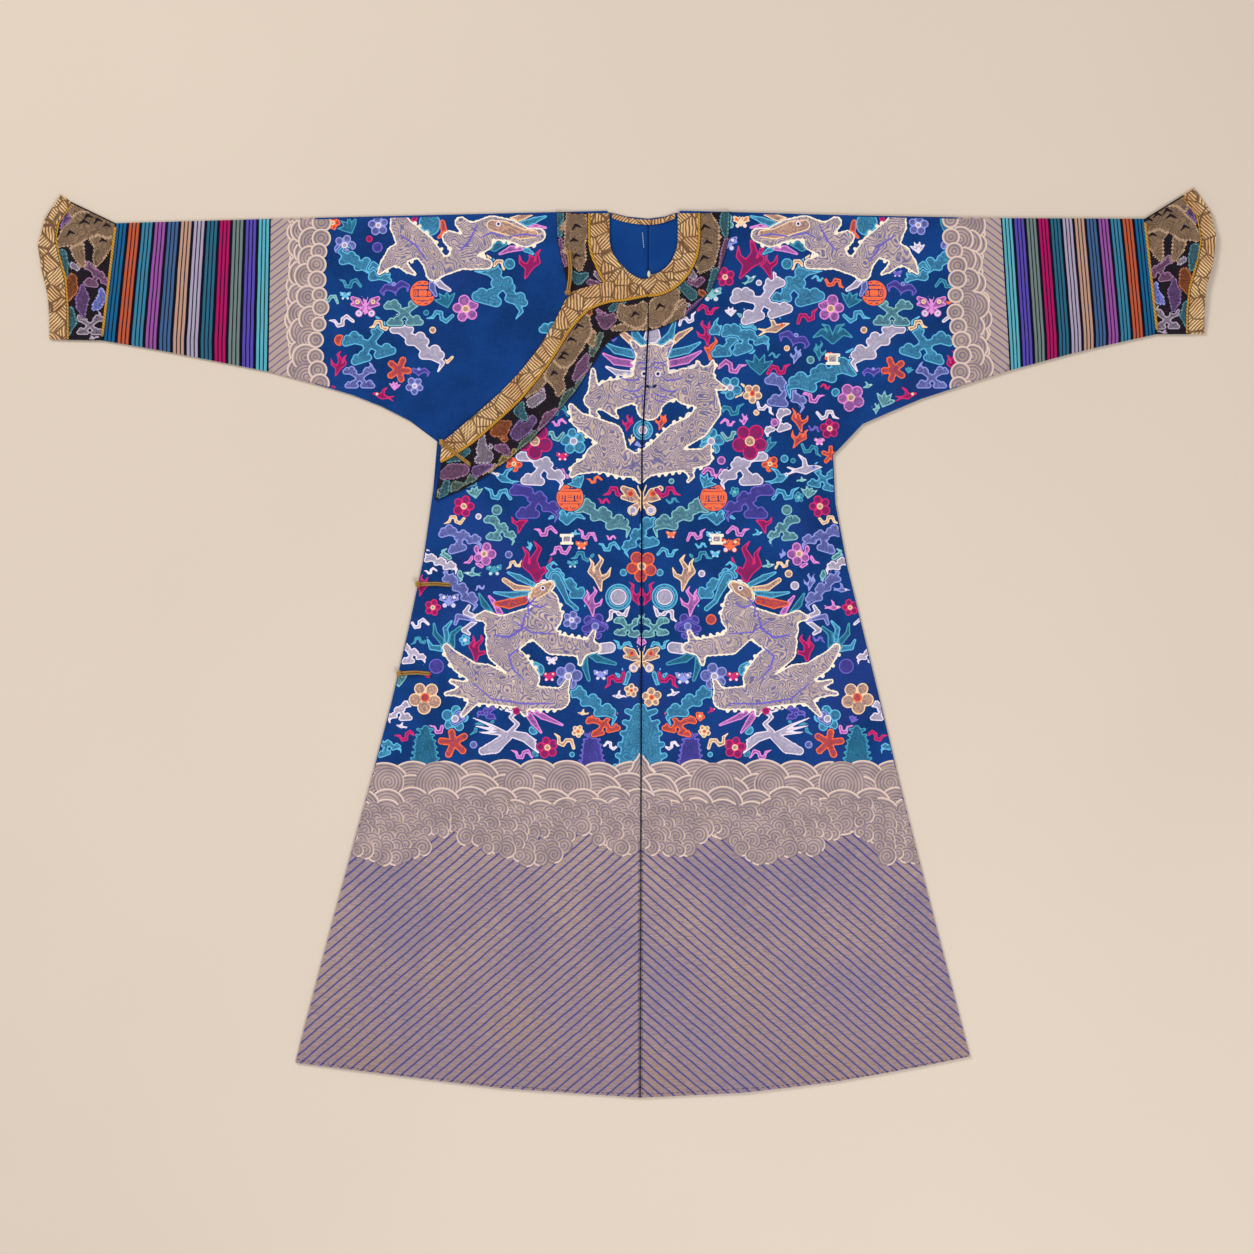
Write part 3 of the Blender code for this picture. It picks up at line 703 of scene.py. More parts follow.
# Each cloth piece: its CAD node, silk, flat size in metres, what it rests on and which sleeve it is.
PANELS = {
    "silk_body_left": ("body_left", "figured_silk", (0.60, 2.84), "floor"),
    "silk_body_right": ("body_right", "figured_silk", (0.61, 2.84), "floor"),
    "silk_overlap": ("overlap", "figured_silk", (0.57, 1.32), "silk_body_right"),
    "silk_lining": ("back_lining", "lining_silk", (0.18, 0.122), "silk_body_left"),
    "silk_sleeve_left": ("sleeve_left", "striped_silk", (0.49, 0.26), "floor", "left"),
    "silk_sleeve_right": ("sleeve_right", "striped_silk", (0.50, 0.28), "floor", "right"),
    "silk_cuff_left": ("cuff_left", "dark_silk", (0.46, 0.10), "floor"),
    "silk_cuff_right": ("cuff_right", "dark_silk", (0.46, 0.10), "floor"),
    "gold_cuff_band_left": ("cuff_band_left", "gold_brocade", (0.50, 0.055), "floor"),
    "gold_cuff_band_right": ("cuff_band_right", "gold_brocade", (0.50, 0.055), "floor"),
    "gold_neck_band_left": ("neck_band_left", "gold_brocade", (0.13, 0.079), "silk_body_left"),
    "gold_neck_band_right": ("neck_band_right", "gold_brocade", (0.105, 0.083), "silk_body_right"),
    "gold_neck_band_back": ("neck_band_back", "gold_brocade", (0.103, 0.012), "silk_lining"),
    "gold_lapel_band": ("lapel_band", "gold_brocade", (0.45, 0.06), "silk_overlap"),
    "dark_yoke_border": ("yoke_border", "dark_silk", (0.113, 0.08), "silk_body_right"),
    "dark_collar_border": ("collar_border", "dark_silk", (0.19, 0.131), "silk_body_left"),
    "dark_lapel_border": ("lapel_border", "dark_silk", (0.46, 0.10), "silk_overlap"),
}
cloth = {name: cloth_piece(name, *row) for name, row in PANELS.items()}


class Surface:
    """The top of some cloth pieces, to drape figures on."""

    def __init__(self, *names):
        points = []
        faces = []
        for name in names:
            mesh = cloth[name].data
            start = len(points)
            points.extend(vert.co.copy() for vert in mesh.vertices)
            faces.extend([start + k for k in face.vertices] for face in mesh.polygons)
        self.tree = BVHTree.FromPolygons(points, faces)

    def height(self, x, y):
        """The cloth's height at a place in millimetres, in metres, or None beside it."""
        hit = self.tree.ray_cast(Vector((x * MM, y * MM, 1.0)), Vector((0, 0, -1)))
        return hit[0].z if hit[0] else None

    def nearest(self, x, y):
        """The height of the cloth nearest to a place just beside it."""
        return self.tree.find_nearest(Vector((x * MM, y * MM, FOLD_TOP * MM)))[0].z


# ---- Outlines as distance fields -------------------------------------------------------------

def chain(*points, soft=0.0):
    """A limb, stem or ribbon: rounded stretches between points of x, y and half width."""
    def field(x, y):
        best = None
        for (ax, ay, ar), (bx, by, br) in zip(points, points[1:]):
            dx, dy = bx - ax, by - ay
            along = np.clip(((x - ax) * dx + (y - ay) * dy) / max(dx * dx + dy * dy, 1e-9), 0, 1)
            d = np.hypot(x - ax - along * dx, y - ay - along * dy) - (ar + along * (br - ar))
            best = d if best is None else soft_union(best, d, soft)
        return best
    return field


def soft_union(a, b, soft):
    """The nearer of two distances, blended over soft millimetres."""
    if soft <= 0:
        return np.minimum(a, b)
    share = np.clip(0.5 + 0.5 * (b - a) / soft, 0, 1)
    return b + (a - b) * share - soft * share * (1 - share)


def union(*fields, soft):
    """Several shapes in one, blended where they meet."""
    def field(x, y):
        best = fields[0](x, y)
        for other in fields[1:]:
            best = soft_union(best, other(x, y), soft)
        return best
    return field


def cut(field, *holes):
    """A shape less others."""
    def less(x, y):
        best = field(x, y)
        for hole in holes:
            best = np.maximum(best, -hole(x, y))
        return best
    return less


def disc(x0, y0, radius):
    """A round spot."""
    def field(x, y):
        return np.hypot(x - x0, y - y0) - radius
    return field


def bar(x0, y0, half_x, half_y):
    """An upright block."""
    def field(x, y):
        return np.maximum(np.abs(x - x0) - half_x, np.abs(y - y0) - half_y)
    return field


def lumpy(field, amount, length):
    """An outline with small lumps, as woven edges have."""
    def rough(x, y):
        wave = np.sin(x * 2 * math.pi / length) * np.sin(y * 2 * math.pi / length + 0.7)
        return field(x, y) - amount * wave
    return rough


# ---- Figures ------------------------------------------------------------------------------
# Each takes a source of chance, which some don't need, and the figure's size in millimetres.

def limb(s, *points, side=1):
    """A chain whose points are shares of half the figure's size, turned over where side is -1."""
    return chain(*[(x * s * side, y * s, r * s) for x, y, r in points])


def banks(places, stems, s, hand, draw):
    """Flat-footed heads of cloud, strung together by thin stems."""
    parts = []
    for x, y, wide in places:
        x, y, wide = x * s * hand, (y + draw.uniform(-0.05, 0.05)) * s, wide * s
        parts.append(chain((x - wide * 0.9, y, wide * 0.5), (x + wide * 0.9, y, wide * 0.5)))
        parts.append(disc(x - wide * 0.35, y + wide * 0.5, wide * 0.62))
        parts.append(disc(x + wide * 0.55, y + wide * 0.4, wide * 0.5))
    for stem in stems:
        parts.append(limb(s, *[(*places[k][:2], 0.15) for k in stem], side=hand))
    return parts


def cloud(draw, size):
    """Heads of cloud on a bent stem, or four of them round a middle one."""
    s = size / 2
    hand = draw.choice([-1, 1])
    if draw.random() < 0.6:
        places = [(0.52, 0.55, 0.36), (-0.12, 0.2, 0.3), (0.28, -0.42, 0.36), (-0.66, -0.22, 0.28)]
        stems = [(0, 1, 2), (1, 3)]
        tail = [(-0.66, -0.25, 0.1), (-0.92, -0.5, 0.07), (-0.8, -0.8, 0.02)]
    else:
        places = [(0, 0, 0.22), (-0.6, 0.42, 0.3), (0.62, 0.36, 0.33), (0.5, -0.5, 0.32), (-0.5, -0.5, 0.34)]
        stems = [(1, 0, 3), (2, 0, 4)]
        tail = [(-0.6, 0.45, 0.12), (-0.72, 0.78, 0.08), (-0.56, 1.0, 0.03)]
    parts = banks(places, stems, s, hand, draw)
    return union(*parts, limb(s, *tail, side=hand), soft=0.6)


def wisp(draw, size):
    """A long cloud: three heads down a bent stem, with a tail that curls at either end."""
    s = size / 2
    hand = draw.choice([-1, 1])
    places = [(-0.55, 0.42, 0.3), (-0.02, 0.02, 0.3), (0.48, -0.42, 0.32)]
    tails = [
        [(-0.55, 0.5, 0.12), (-0.86, 0.78, 0.09), (-0.62, 1.0, 0.05), (-0.45, 0.86, 0.03)],
        [(0.5, -0.45, 0.12), (0.86, -0.66, 0.08), (0.7, -0.96, 0.03)],
    ]
    parts = banks(places, [(0, 1, 2)], s, hand, draw)
    return union(*parts, *[limb(s, *tail, side=hand) for tail in tails], soft=0.6)


def flame(draw, size):
    """A forked flame with curling tongues."""
    lean = draw.choice([-1, 1])
    tongues = [
        [(-0.2, -1, 0.06), (0, -0.35, 0.24), (0.15, 0.2, 0.16), (-0.1, 0.7, 0.10), (0.15, 1, 0.03)],
        [(0, -0.35, 0.2), (0.5, 0, 0.15), (0.4, 0.45, 0.09), (0.62, 0.75, 0.03)],
        [(0, -0.4, 0.18), (-0.5, -0.1, 0.12), (-0.62, 0.35, 0.03)],
    ]
    return union(*[limb(size / 2, *tongue, side=lean) for tongue in tongues], soft=1.5)


def ribbon(draw, size):
    """A fluttering ribbon."""
    s = size / 2
    hand = draw.choice([-1, 1])
    waves = [
        (-1, -0.3, 0.14), (-0.6, 0.28, 0.16), (-0.2, 0.15, 0.16), (-0.05, -0.3, 0.17),
        (0.35, -0.28, 0.15), (0.5, 0.2, 0.13), (1, 0.42, 0.04),
    ]
    return chain(*[(x * s, y * s * hand, r * s) for x, y, r in waves], soft=1.0)


PETALS = 5


def flower(draw, size):
    """A blossom with round petals."""
    start = draw.uniform(0, 2)
    parts = [disc(0, 0, size * 0.16)]
    for petal in range(PETALS):
        angle = start + petal * 2 * math.pi / PETALS
        reach = size * 0.29
        radius = size * draw.uniform(0.16, 0.20)
        parts.append(disc(reach * math.cos(angle), reach * math.sin(angle), radius))
    return union(*parts, soft=0.8)


def bat(draw, size):
    """A bat with curled wings."""
    s = size / 2
    return union(
        disc(0, 0, s * 0.26), disc(0, s * 0.28, s * 0.15),
        limb(s, (0, 0, 0.2), (0.5, 0.2, 0.22), (0.85, 0, 0.14), (0.75, -0.25, 0.08)),
        limb(s, (0, 0, 0.2), (-0.5, 0.25, 0.22), (-0.9, 0.05, 0.13), (-0.8, -0.3, 0.06)),
        limb(s, (0, -0.1, 0.1), (0, -0.45, 0.03)),
        soft=1.0,
    )


def bird(draw, size):
    """A small flying bird with a forked tail."""
    s = size / 2
    return union(
        limb(s, (-0.5, -0.1, 0.1), (0, 0, 0.24), (0.5, 0.22, 0.13), (0.85, 0.3, 0.03)),
        limb(s, (0, 0, 0.18), (-0.15, 0.5, 0.12), (-0.5, 0.75, 0.04)),
        limb(s, (-0.5, -0.1, 0.08), (-0.95, -0.4, 0.04)),
        limb(s, (-0.5, -0.1, 0.08), (-1, 0, 0.04)),
        soft=1.0,
    )


def leaves(draw, size):
    """A spray of pointed leaves."""
    parts = []
    start = draw.uniform(0.2, 0.8)
    for leaf in range(4):
        angle = start + leaf * 0.62
        tip = (size * 0.5 * math.cos(angle), size * 0.5 * math.sin(angle) - size * 0.15, size * 0.02)
        mid = (tip[0] * 0.5, tip[1] * 0.5 - size * 0.06, size * 0.10)
        parts.append(chain((0, -size * 0.25, size * 0.04), mid, tip))
    return union(*parts, soft=0.8)


def coral(draw, size):
    """A branching coral."""
    parts = []
    for branch in range(5):
        angle = 0.4 + branch * 1.25
        reach = size * draw.uniform(0.3, 0.4)
        tip = (reach * math.cos(angle), reach * math.sin(angle), size * 0.11)
        parts.append(chain((0, 0, size * 0.1), tip))
    return lumpy(union(*parts, soft=1.5), 0.6, 7)


def rock(draw, size):
    """A steep rock with scrolled edges, standing in the waves."""
    s = size / 2
    scrolls = [
        chain(
            (side * s * (0.5 - 0.34 * k / 5), -s * 0.9 + s * 0.3 * k, s * 0.1),
            (side * s * (0.7 - 0.32 * k / 5), -s * 0.82 + s * 0.3 * k, s * 0.08),
        )
        for side in (-1, 1) for k in range(6)
    ]
    return union(
        limb(s, (0, -1, 0.6), (0, 0.1, 0.42), (-0.04, 0.7, 0.2)),
        limb(s, (0.2, -1, 0.4), (0.34, 0.2, 0.14)),
        limb(s, (-0.3, -1, 0.35), (-0.36, 0.05, 0.14)),
        *scrolls, soft=0.6,
    )


def medallion(draw, size):
    """A disc pierced by an even lattice of bars."""
    r = size / 2
    slots = []
    for row in (-0.62, -0.3, 0.3, 0.62):
        slots.append(bar(0, r * row, r * (0.52 if abs(row) > 0.5 else 0.72), r * 0.045))
    slots += [bar(side * r * 0.36, 0, r * 0.045, r * 0.24) for side in (-1, 1)]
    slots += [bar(0, side * r * 0.76, r * 0.045, r * 0.12) for side in (-1, 1)]
    slots += [bar(0, 0, r * 0.24, r * 0.05)]
    slots += [bar(side * r * 0.74, 0, r * 0.045, r * 0.2) for side in (-1, 1)]
    return cut(disc(0, 0, r), *slots)


def crane(draw, size):
    """A crane in flight: a folded wing, three long feathers, a bent neck and a lobed tail."""
    s = size / 2
    near = [(-0.98, -0.62), (-0.94, -0.4), (-0.84, -0.2)]
    far = [(1.0, 0.46), (0.98, 0.24), (0.84, 0.04)]
    neck = [
        (-0.08, 0.05, 0.08), (-0.3, 0.28, 0.06), (-0.08, 0.48, 0.05), (-0.26, 0.64, 0.08),
        (0.34, 0.74, 0.012),
    ]
    return union(
        lumpy(limb(s, (0, -0.08, 0.14), (0.36, -0.38, 0.2), (0.72, -0.5, 0.12)), 0.8, 5),
        limb(s, *neck),
        *[limb(s, (-0.1, 0, 0.1), (-0.5, -0.1, 0.14), (x, y, 0.02)) for x, y in near],
        *[limb(s, (0.05, 0, 0.07), (0.45, y * 0.5, 0.045), (x, y, 0.015)) for x, y in far],
        soft=0.4,
    )


def butterfly(draw, size):
    """A butterfly seen from above, its fore wings notched."""
    s = size / 2
    wing = [
        [(0.12, 0, 0.1), (0.5, 0.34, 0.26), (0.82, 0.56, 0.14)], [(0.4, 0.1, 0.16), (0.86, 0.18, 0.1)],
        [(0.12, -0.1, 0.08), (0.4, -0.4, 0.24)], [(0.05, 0.3, 0.03), (0.2, 0.72, 0.03)],
    ]
    wings = [limb(s, *points, side=side) for side in (-1, 1) for points in wing]
    return union(*wings, limb(s, (0, 0.4, 0.09), (0, -0.42, 0.07)), soft=0.5)


def plant(draw, size):
    """Broad leaves over a pot."""
    blades = [
        [(-0.5, 0.45, 0.18), (-0.95, 0.2, 0.05)], [(0.5, 0.45, 0.18), (0.95, 0.2, 0.05)],
        [(-0.25, 0.7, 0.12), (-0.55, 0.85, 0.03)], [(0.25, 0.7, 0.12), (0.6, 0.85, 0.03)],
    ]
    return union(*[limb(size / 2, (0, 0, 0.14), *blade) for blade in blades], soft=1.0)


def pot(draw, size):
    """A pot with a broad lip and foot."""
    s = size / 2
    lip, belly = bar(0, -s * 0.1, s * 0.8, s * 0.18), bar(0, -s * 0.5, s * 0.55, s * 0.45)
    return union(lip, belly, bar(0, -s, s * 0.75, s * 0.14), soft=0)


def spot(draw, size):
    """A plain round spot."""
    return disc(0, 0, size / 2)


SHAPES = {
    "cloud": cloud, "wisp": wisp, "flame": flame, "ribbon": ribbon, "flower": flower, "bat": bat,
    "bird": bird, "leaves": leaves, "coral": coral, "rock": rock, "medallion": medallion,
    "crane": crane, "butterfly": butterfly, "plant": plant, "pot": pot, "spot": spot,
}


# ---- Cutting outlines into faces -------------------------------------------------------------

def placed(field, x0, y0, turn, flip):
    """A shape moved to a place, turned, and flipped over where flip is -1."""
    c, s = math.cos(turn), math.sin(turn)

    def moved(x, y):
        dx, dy = (x - x0) * flip, y - y0
        return field(dx * c + dy * s, dy * c - dx * s)
    return moved


class Weaving:
    """Figures woven into one stretch of cloth: one mesh, with one silk to a face."""

    def __init__(self, surface, clip, lift=0.28, taken=None):
        self.surface = surface
        self.clip = clip
        self.taken = [] if taken is None else taken
        self.lift = lift
        self.points = []
        self.edges = []
        self.faces = []
        self.silks = []
        self.names = []

    def silk(self, name):
        """A silk's number in this mesh."""
        if name not in self.names:
            self.names.append(name)
        return self.names.index(name)

    def fill(self, field, silk, box, rise=0.0, step=2.2, gap=None, lines=None):
        """Cut one outline into faces and keep how far inside it each point lies.

        With a gap, the shape stops that far short of every shape already placed.
        """
        x0, y0, x1, y1 = box
        columns = np.arange(x0, x1 + step, step)
        rows = np.arange(y0, y1 + step, step)
        x, y = np.meshgrid(columns, rows, indexing="ij")
        inside = field(x, y)
        away = np.maximum(inside, self.clip(x, y))
        if gap is not None:
            for (left, low, right, high), other in self.taken:
                if left < x1 and right > x0 and low < y1 and high > y0:
                    kept = gap - other(x, y)
                    away = np.maximum(away, kept)
                    if gap > 0:
                        inside = np.maximum(inside, kept)
            self.taken.append((box, field))
        if lines is not None:
            inside = -lines(x, y)
        held = away < 0
        if not held.any():
            return
        number = np.full(held.shape, -1)
        start = len(self.points)
        number[held] = start + np.arange(held.sum())
        self.points.extend(zip(x[held].tolist(), y[held].tolist(), [rise] * int(held.sum())))
        self.edges.extend((-inside[held]).tolist())
        count = held[:-1, :-1].astype(int) + held[1:, :-1] + held[1:, 1:] + held[:-1, 1:]
        whole = np.argwhere(count == 4)
        i, j = whole[:, 0], whole[:, 1]
        around = [number[i, j], number[i + 1, j], number[i + 1, j + 1], number[i, j + 1]]
        quads = np.stack(around, axis=1)
        self.faces.extend(quads.tolist())
        crossings = {}
        partial = np.argwhere((count > 0) & (count < 4))
        for i, j in partial.tolist():
            corners = [(i, j), (i + 1, j), (i + 1, j + 1), (i, j + 1)]
            face = []
            for a, b in zip(corners, corners[1:] + corners[:1]):
                if held[a]:
                    face.append(int(number[a]))
                if held[a] != held[b]:
                    key = (min(a, b), max(a, b))
                    if key not in crossings:
                        crossings[key] = self.crossing(x, y, away, inside, key, rise)
                    face.append(crossings[key])
            self.faces.append(face)
        self.silks.extend([self.silk(silk)] * (len(quads) + len(partial)))

    def crossing(self, x, y, away, inside, key, rise):
        """A new point where the outline crosses an edge of the grid."""
        a, b = key
        share = away[a] / (away[a] - away[b])
        mixed = [float(grid[a] + (grid[b] - grid[a]) * share) for grid in (x, y, inside)]
        self.points.append((mixed[0], mixed[1], rise))
        self.edges.append(max(0.0, -mixed[2]))
        return len(self.points) - 1

    def whorl(self, x0, y0, radius, spacing, hand):
        """A round wave whose lines wind inwards, behind the shapes already placed."""
        def wound(x, y):
            turned = np.arctan2(hand * (x - x0), y - y0) / (2 * math.pi)
            return radius - np.hypot(x - x0, y - y0) + spacing * turned + spacing / 2
        box = box_round(x0, y0, radius + 2)
        self.fill(disc(x0, y0, radius), "wave", box, step=1.8, gap=0.0, lines=wound)

    def piece(self, name, slot):
        """The mesh, draped on its cloth, as a piece that rides on the robe."""
        places = []
        for x, y, rise in self.points:
            z = self.surface.height(x, y)
            if z is None:
                z = self.surface.nearest(x, y)
            places.append((x * MM, y * MM, z + (self.lift + rise) * MM))
        mesh = bpy.data.meshes.new(name)
        mesh.from_pydata(places, [], self.faces)
        for silk in self.names:
            mesh.materials.append(FINISH[silk])
        mesh.polygons.foreach_set("material_index", self.silks)
        edge = mesh.attributes.new("edge", "FLOAT", "POINT")
        edge.data.foreach_set("value", self.edges)
        bake = mesh.uv_layers.new(name="OFBake")
        corners = np.empty(len(mesh.loops), dtype=np.int32)
        mesh.loops.foreach_get("vertex_index", corners)
        flat = np.array(places)[:, :2]
        low = flat.min(axis=0)
        span = (flat.max(axis=0) - low).max()
        bake.data.foreach_set("uv", ((flat[corners] - low) / span * 0.98 + 0.01).ravel())
        return new_piece(name, mesh, self.names[0])


def box_round(x, y, size):
    """The box that reaches size from a place on every side."""
    return (x - size, y - size, x + size, y + size)


def add_figure(weaving, kind, silk, x, y, size, seed, flip=1, turn=None):
    """One small figure with its contrasting parts."""
    draw = random.Random(seed)
    if turn is None:
        turn = draw.uniform(-0.35, 0.35) if kind in TURNED else 0.0
    box = box_round(x, y, size * 0.85)
    shape = placed(SHAPES[kind](draw, size), x, y, turn, flip)
    weaving.fill(shape, silk, box, gap=FIGURE_GAP)
    for part, part_silk, dx, dy, part_size in PARTS.get(kind, []):
        part_x = x + (dx * math.cos(turn) - dy * math.sin(turn)) * size * flip
        part_y = y + (dx * math.sin(turn) + dy * math.cos(turn)) * size
        shape = placed(SHAPES[part](draw, part_size * size), part_x, part_y, turn, flip)
        part_box = box_round(part_x, part_y, part_size * size)
        weaving.fill(shape, part_silk or CONTRAST[silk], part_box, rise=0.1, step=1.5)


FIGURE_GAP = 1.3
# The kinds that are turned a little by chance, the silk of each one's contrasting parts, and those
# parts: shape, silk if it isn't the contrast, place and size as shares of the figure's.
TURNED = ("cloud", "wisp", "flame", "ribbon", "flower", "bat", "bird", "coral", "leaves")
CONTRAST = {
    "turquoise": "white", "teal": "mint", "mint": "white", "white": "periwinkle", "periwinkle": "white",
    "violet": "periwinkle", "pink": "peach", "crimson": "peach", "orange": "peach", "peach": "orange",
    "dragon": "orange", "taupe": "dull_rust",
}
PARTS = {
    "flower": [("spot", None, 0, 0, 0.26)],
    "bat": [("spot", None, 0, 0.16, 0.14)],
    "crane": [("spot", "crimson", -0.13, 0.33, 0.11)],
    "butterfly": [
        ("spot", None, -0.25, 0.17, 0.15), ("spot", None, 0.25, 0.17, 0.15),
        ("spot", "white", -0.2, -0.2, 0.17), ("spot", "white", 0.2, -0.2, 0.17),
    ],
    "plant": [("pot", "dragon", 0, -0.32, 0.46)],
    "bird": [("spot", None, 0.2, 0.1, 0.12)],
}


# ---- What is woven where: kind, silk, distance from the centre seam, height, size ---------------

SHOULDER_FIGURES = [
    ("flame", "crimson", 163, 617, 58), ("flame", "crimson", 190, 610, 44),
    ("spot", "turquoise", 222, 606, 18),
    ("ribbon", "peach", 246, 609, 28), ("cloud", "white", 182, 546, 80), ("cloud", "turquoise", 240, 566, 88),
    ("medallion", "orange", 361, 559, 40), ("bat", "violet", 406, 566, 44), ("flower", "pink", 292, 534, 42),
    ("leaves", "teal", 323, 548, 34), ("ribbon", "crimson", 256, 522, 30),
    ("ribbon", "turquoise", 334, 522, 32),
    ("cloud", "mint", 390, 528, 56), ("butterfly", "pink", 453, 537, 50), ("wisp", "turquoise", 453, 600, 74),
    ("flower", "periwinkle", 486, 636, 34), ("flower", "periwinkle", 432, 668, 32),
    ("leaves", "teal", 477, 667, 34),
    ("ribbon", "peach", 430, 508, 28), ("plant", "teal", 296, 482, 58), ("wisp", "white", 368, 479, 84),
    ("cloud", "turquoise", 445, 478, 70), ("bird", "peach", 203, 502, 42), ("bat", "violet", 235, 484, 46),
    ("cloud", "turquoise", 157, 484, 62), ("leaves", "teal", 178, 443, 42),
    ("ribbon", "crimson", 213, 437, 30),
    ("wisp", "turquoise", 283, 428, 96), ("coral", "orange", 396, 436, 44), ("bat", "violet", 364, 432, 32),
    ("cloud", "periwinkle", 458, 424, 46), ("cloud", "periwinkle", 224, 398, 62),
    ("flower", "pink", 330, 392, 42),
    ("flower", "peach", 172, 398, 30), ("bird", "crimson", 421, 394, 30), ("spot", "orange", 493, 484, 18),
    ("flame", "crimson", 493, 447, 32), ("ribbon", "white", 492, 514, 30), ("ribbon", "pink", 268, 392, 30),
    ("leaves", "mint", 385, 388, 32), ("ribbon", "peach", 328, 455, 26), ("spot", "mint", 262, 452, 13),
    ("spot", "peach", 345, 500, 11), ("spot", "crimson", 408, 500, 12), ("ribbon", "teal", 478, 575, 28),
    ("spot", "turquoise", 305, 400, 14), ("flower", "crimson", 505, 400, 26),
    ("ribbon", "white", 295, 364, 28),
    ("flame", "orange", 250, 358, 34), ("spot", "pink", 210, 352, 13), ("ribbon", "mint", 512, 552, 26),
    ("flower", "orange", 505, 672, 24), ("spot", "crimson", 205, 575, 12),
]
CHEST_FIGURES = [
    ("cloud", "turquoise", 136, 484, 66), ("leaves", "mint", 160, 520, 34), ("flame", "crimson", 92, 496, 34),
    ("flame", "orange", 104, 468, 34), ("ribbon", "pink", 138, 441, 34),
    ("flower", "turquoise", 136, 408, 36),
    ("bird", "peach", 163, 398, 34), ("ribbon", "teal", 141, 372, 32), ("ribbon", "pink", 137, 352, 20),
    ("flower", "crimson", 172, 322, 54), ("ribbon", "mint", 146, 330, 30), ("leaves", "teal", 197, 316, 32),
    ("flower", "turquoise", 110, 322, 42), ("cloud", "white", 163, 276, 70),
    ("leaves", "turquoise", 101, 258, 30),
    ("ribbon", "pink", 116, 272, 34), ("medallion", "orange", 115, 232, 43),
    ("cloud", "violet", 172, 222, 70),
    ("ribbon", "crimson", 43, 241, 30), ("wisp", "mint", 64, 202, 78), ("plant", "turquoise", 120, 192, 54),
    ("bird", "white", 262, 276, 46), ("flower", "crimson", 285, 218, 34), ("bird", "turquoise", 222, 262, 40),
    ("ribbon", "turquoise", 231, 238, 34), ("spot", "mint", 232, 212, 17),
    ("cloud", "periwinkle", 290, 164, 56),
    ("flower", "pink", 252, 142, 36), ("cloud", "mint", 228, 178, 48), ("cloud", "turquoise", 0, 168, 60),
    ("butterfly", "peach", 0, 226, 72),
    ("ribbon", "pink", 88, 172, 26), ("ribbon", "pink", 155, 178, 28), ("flower", "orange", 205, 286, 26),
    ("cloud", "white", 216, 350, 44), ("flame", "orange", 250, 330, 32), ("ribbon", "white", 195, 375, 26),
    ("cloud", "turquoise", 290, 262, 44), ("spot", "peach", 180, 368, 10), ("leaves", "mint", 268, 240, 26),
    ("flame", "crimson", 195, 196, 34), ("ribbon", "peach", 300, 196, 26), 
    ("wisp", "white", 322, 128, 46), ("ribbon", "teal", 272, 308, 28), ("coral", "orange", 302, 300, 28),
]
LOWER_FIGURES = [
    ("flower", "orange", 0, 122, 48), ("flame", "peach", 68, 112, 46), ("spot", "turquoise", 29, 112, 12),
    ("spot", "white", 37, 73, 26), ("spot", "turquoise", 37, 73, 42), ("flame", "crimson", 12, 78, 32),
    ("flame", "pink", 78, 66, 38), ("wisp", "turquoise", 118, 92, 66), ("flame", "crimson", 168, 124, 60),
    ("flower", "violet", 74, 26, 42), ("cloud", "mint", 21, 24, 42), ("ribbon", "white", 40, 46, 34),
    ("flower", "periwinkle", 117, -54, 42), ("ribbon", "crimson", 44, -60, 30),
    ("wisp", "turquoise", 80, -96, 74),
    ("cloud", "orange", 60, -130, 46), ("rock", "turquoise", 0, -150, 118), ("rock", "violet", 79, -166, 56),
    ("ribbon", "peach", 124, -158, 30), ("flower", "crimson", 150, -168, 34),
    ("crane", "white", 214, -146, 96),
    ("coral", "orange", 300, -160, 46), ("rock", "teal", 346, -160, 62),
    ("flower", "turquoise", 298, -122, 42),
    ("ribbon", "teal", 256, -136, 32), ("cloud", "violet", 244, -112, 32), ("spot", "violet", 328, -38, 24),
    ("flame", "crimson", 262, -10, 38), ("flower", "crimson", 334, 56, 26),
    ("wisp", "periwinkle", 290, 84, 58),
    ("ribbon", "pink", 266, 130, 30), ("wisp", "mint", 304, 122, 44), ("flower", "peach", 346, -88, 50),
    ("cloud", "white", 368, -20, 40), ("cloud", "white", 384, -112, 40), ("ribbon", "white", 358, 30, 26),
    ("ribbon", "teal", 96, 138, 28), ("butterfly", "peach", 0, -28, 62), ("leaves", "turquoise", 26, -56, 34),
    ("spot", "teal", 168, -176, 14), ("spot", "turquoise", 172, -140, 16), ("ribbon", "pink", 322, -138, 28),
    ("flame", "crimson", 352, 92, 28), ("flower", "pink", 0, 2, 16), ("ribbon", "turquoise", 30, -4, 26),
    ("leaves", "mint", 390, -60, 30), ("cloud", "turquoise", 408, -168, 40),
    ("ribbon", "crimson", 378, -150, 26),
]


CHEST_DRAGON = [
    ("turquoise", [(-27, 512, 3), (-20, 492, 6), (-8, 478, 7)]),
    ("turquoise", [(42, 512, 3), (36, 492, 6), (22, 478, 7)]),
    ("peach", [(-53, 503, 2), (-38, 492, 5), (-14, 472, 7)]),
    ("peach", [(70, 503, 2), (52, 492, 5), (28, 472, 7)]),
    ("white", [(7, 494, 12), (7, 484, 15)]),
    ("turquoise", [(-70, 480, 2), (-50, 468, 6), (-22, 462, 7)]),
    ("turquoise", [(84, 480, 2), (64, 468, 6), (36, 462, 7)]),
    ("pink", [(-70, 462, 2), (-50, 450, 6), (-22, 446, 6)]),
    ("pink", [(86, 466, 2), (64, 452, 6), (36, 446, 6)]),
    ("white", [(-64, 441, 2), (-46, 432, 5), (-20, 430, 5)]),
    ("white", [(78, 444, 2), (58, 434, 5), (34, 431, 5)]),
]
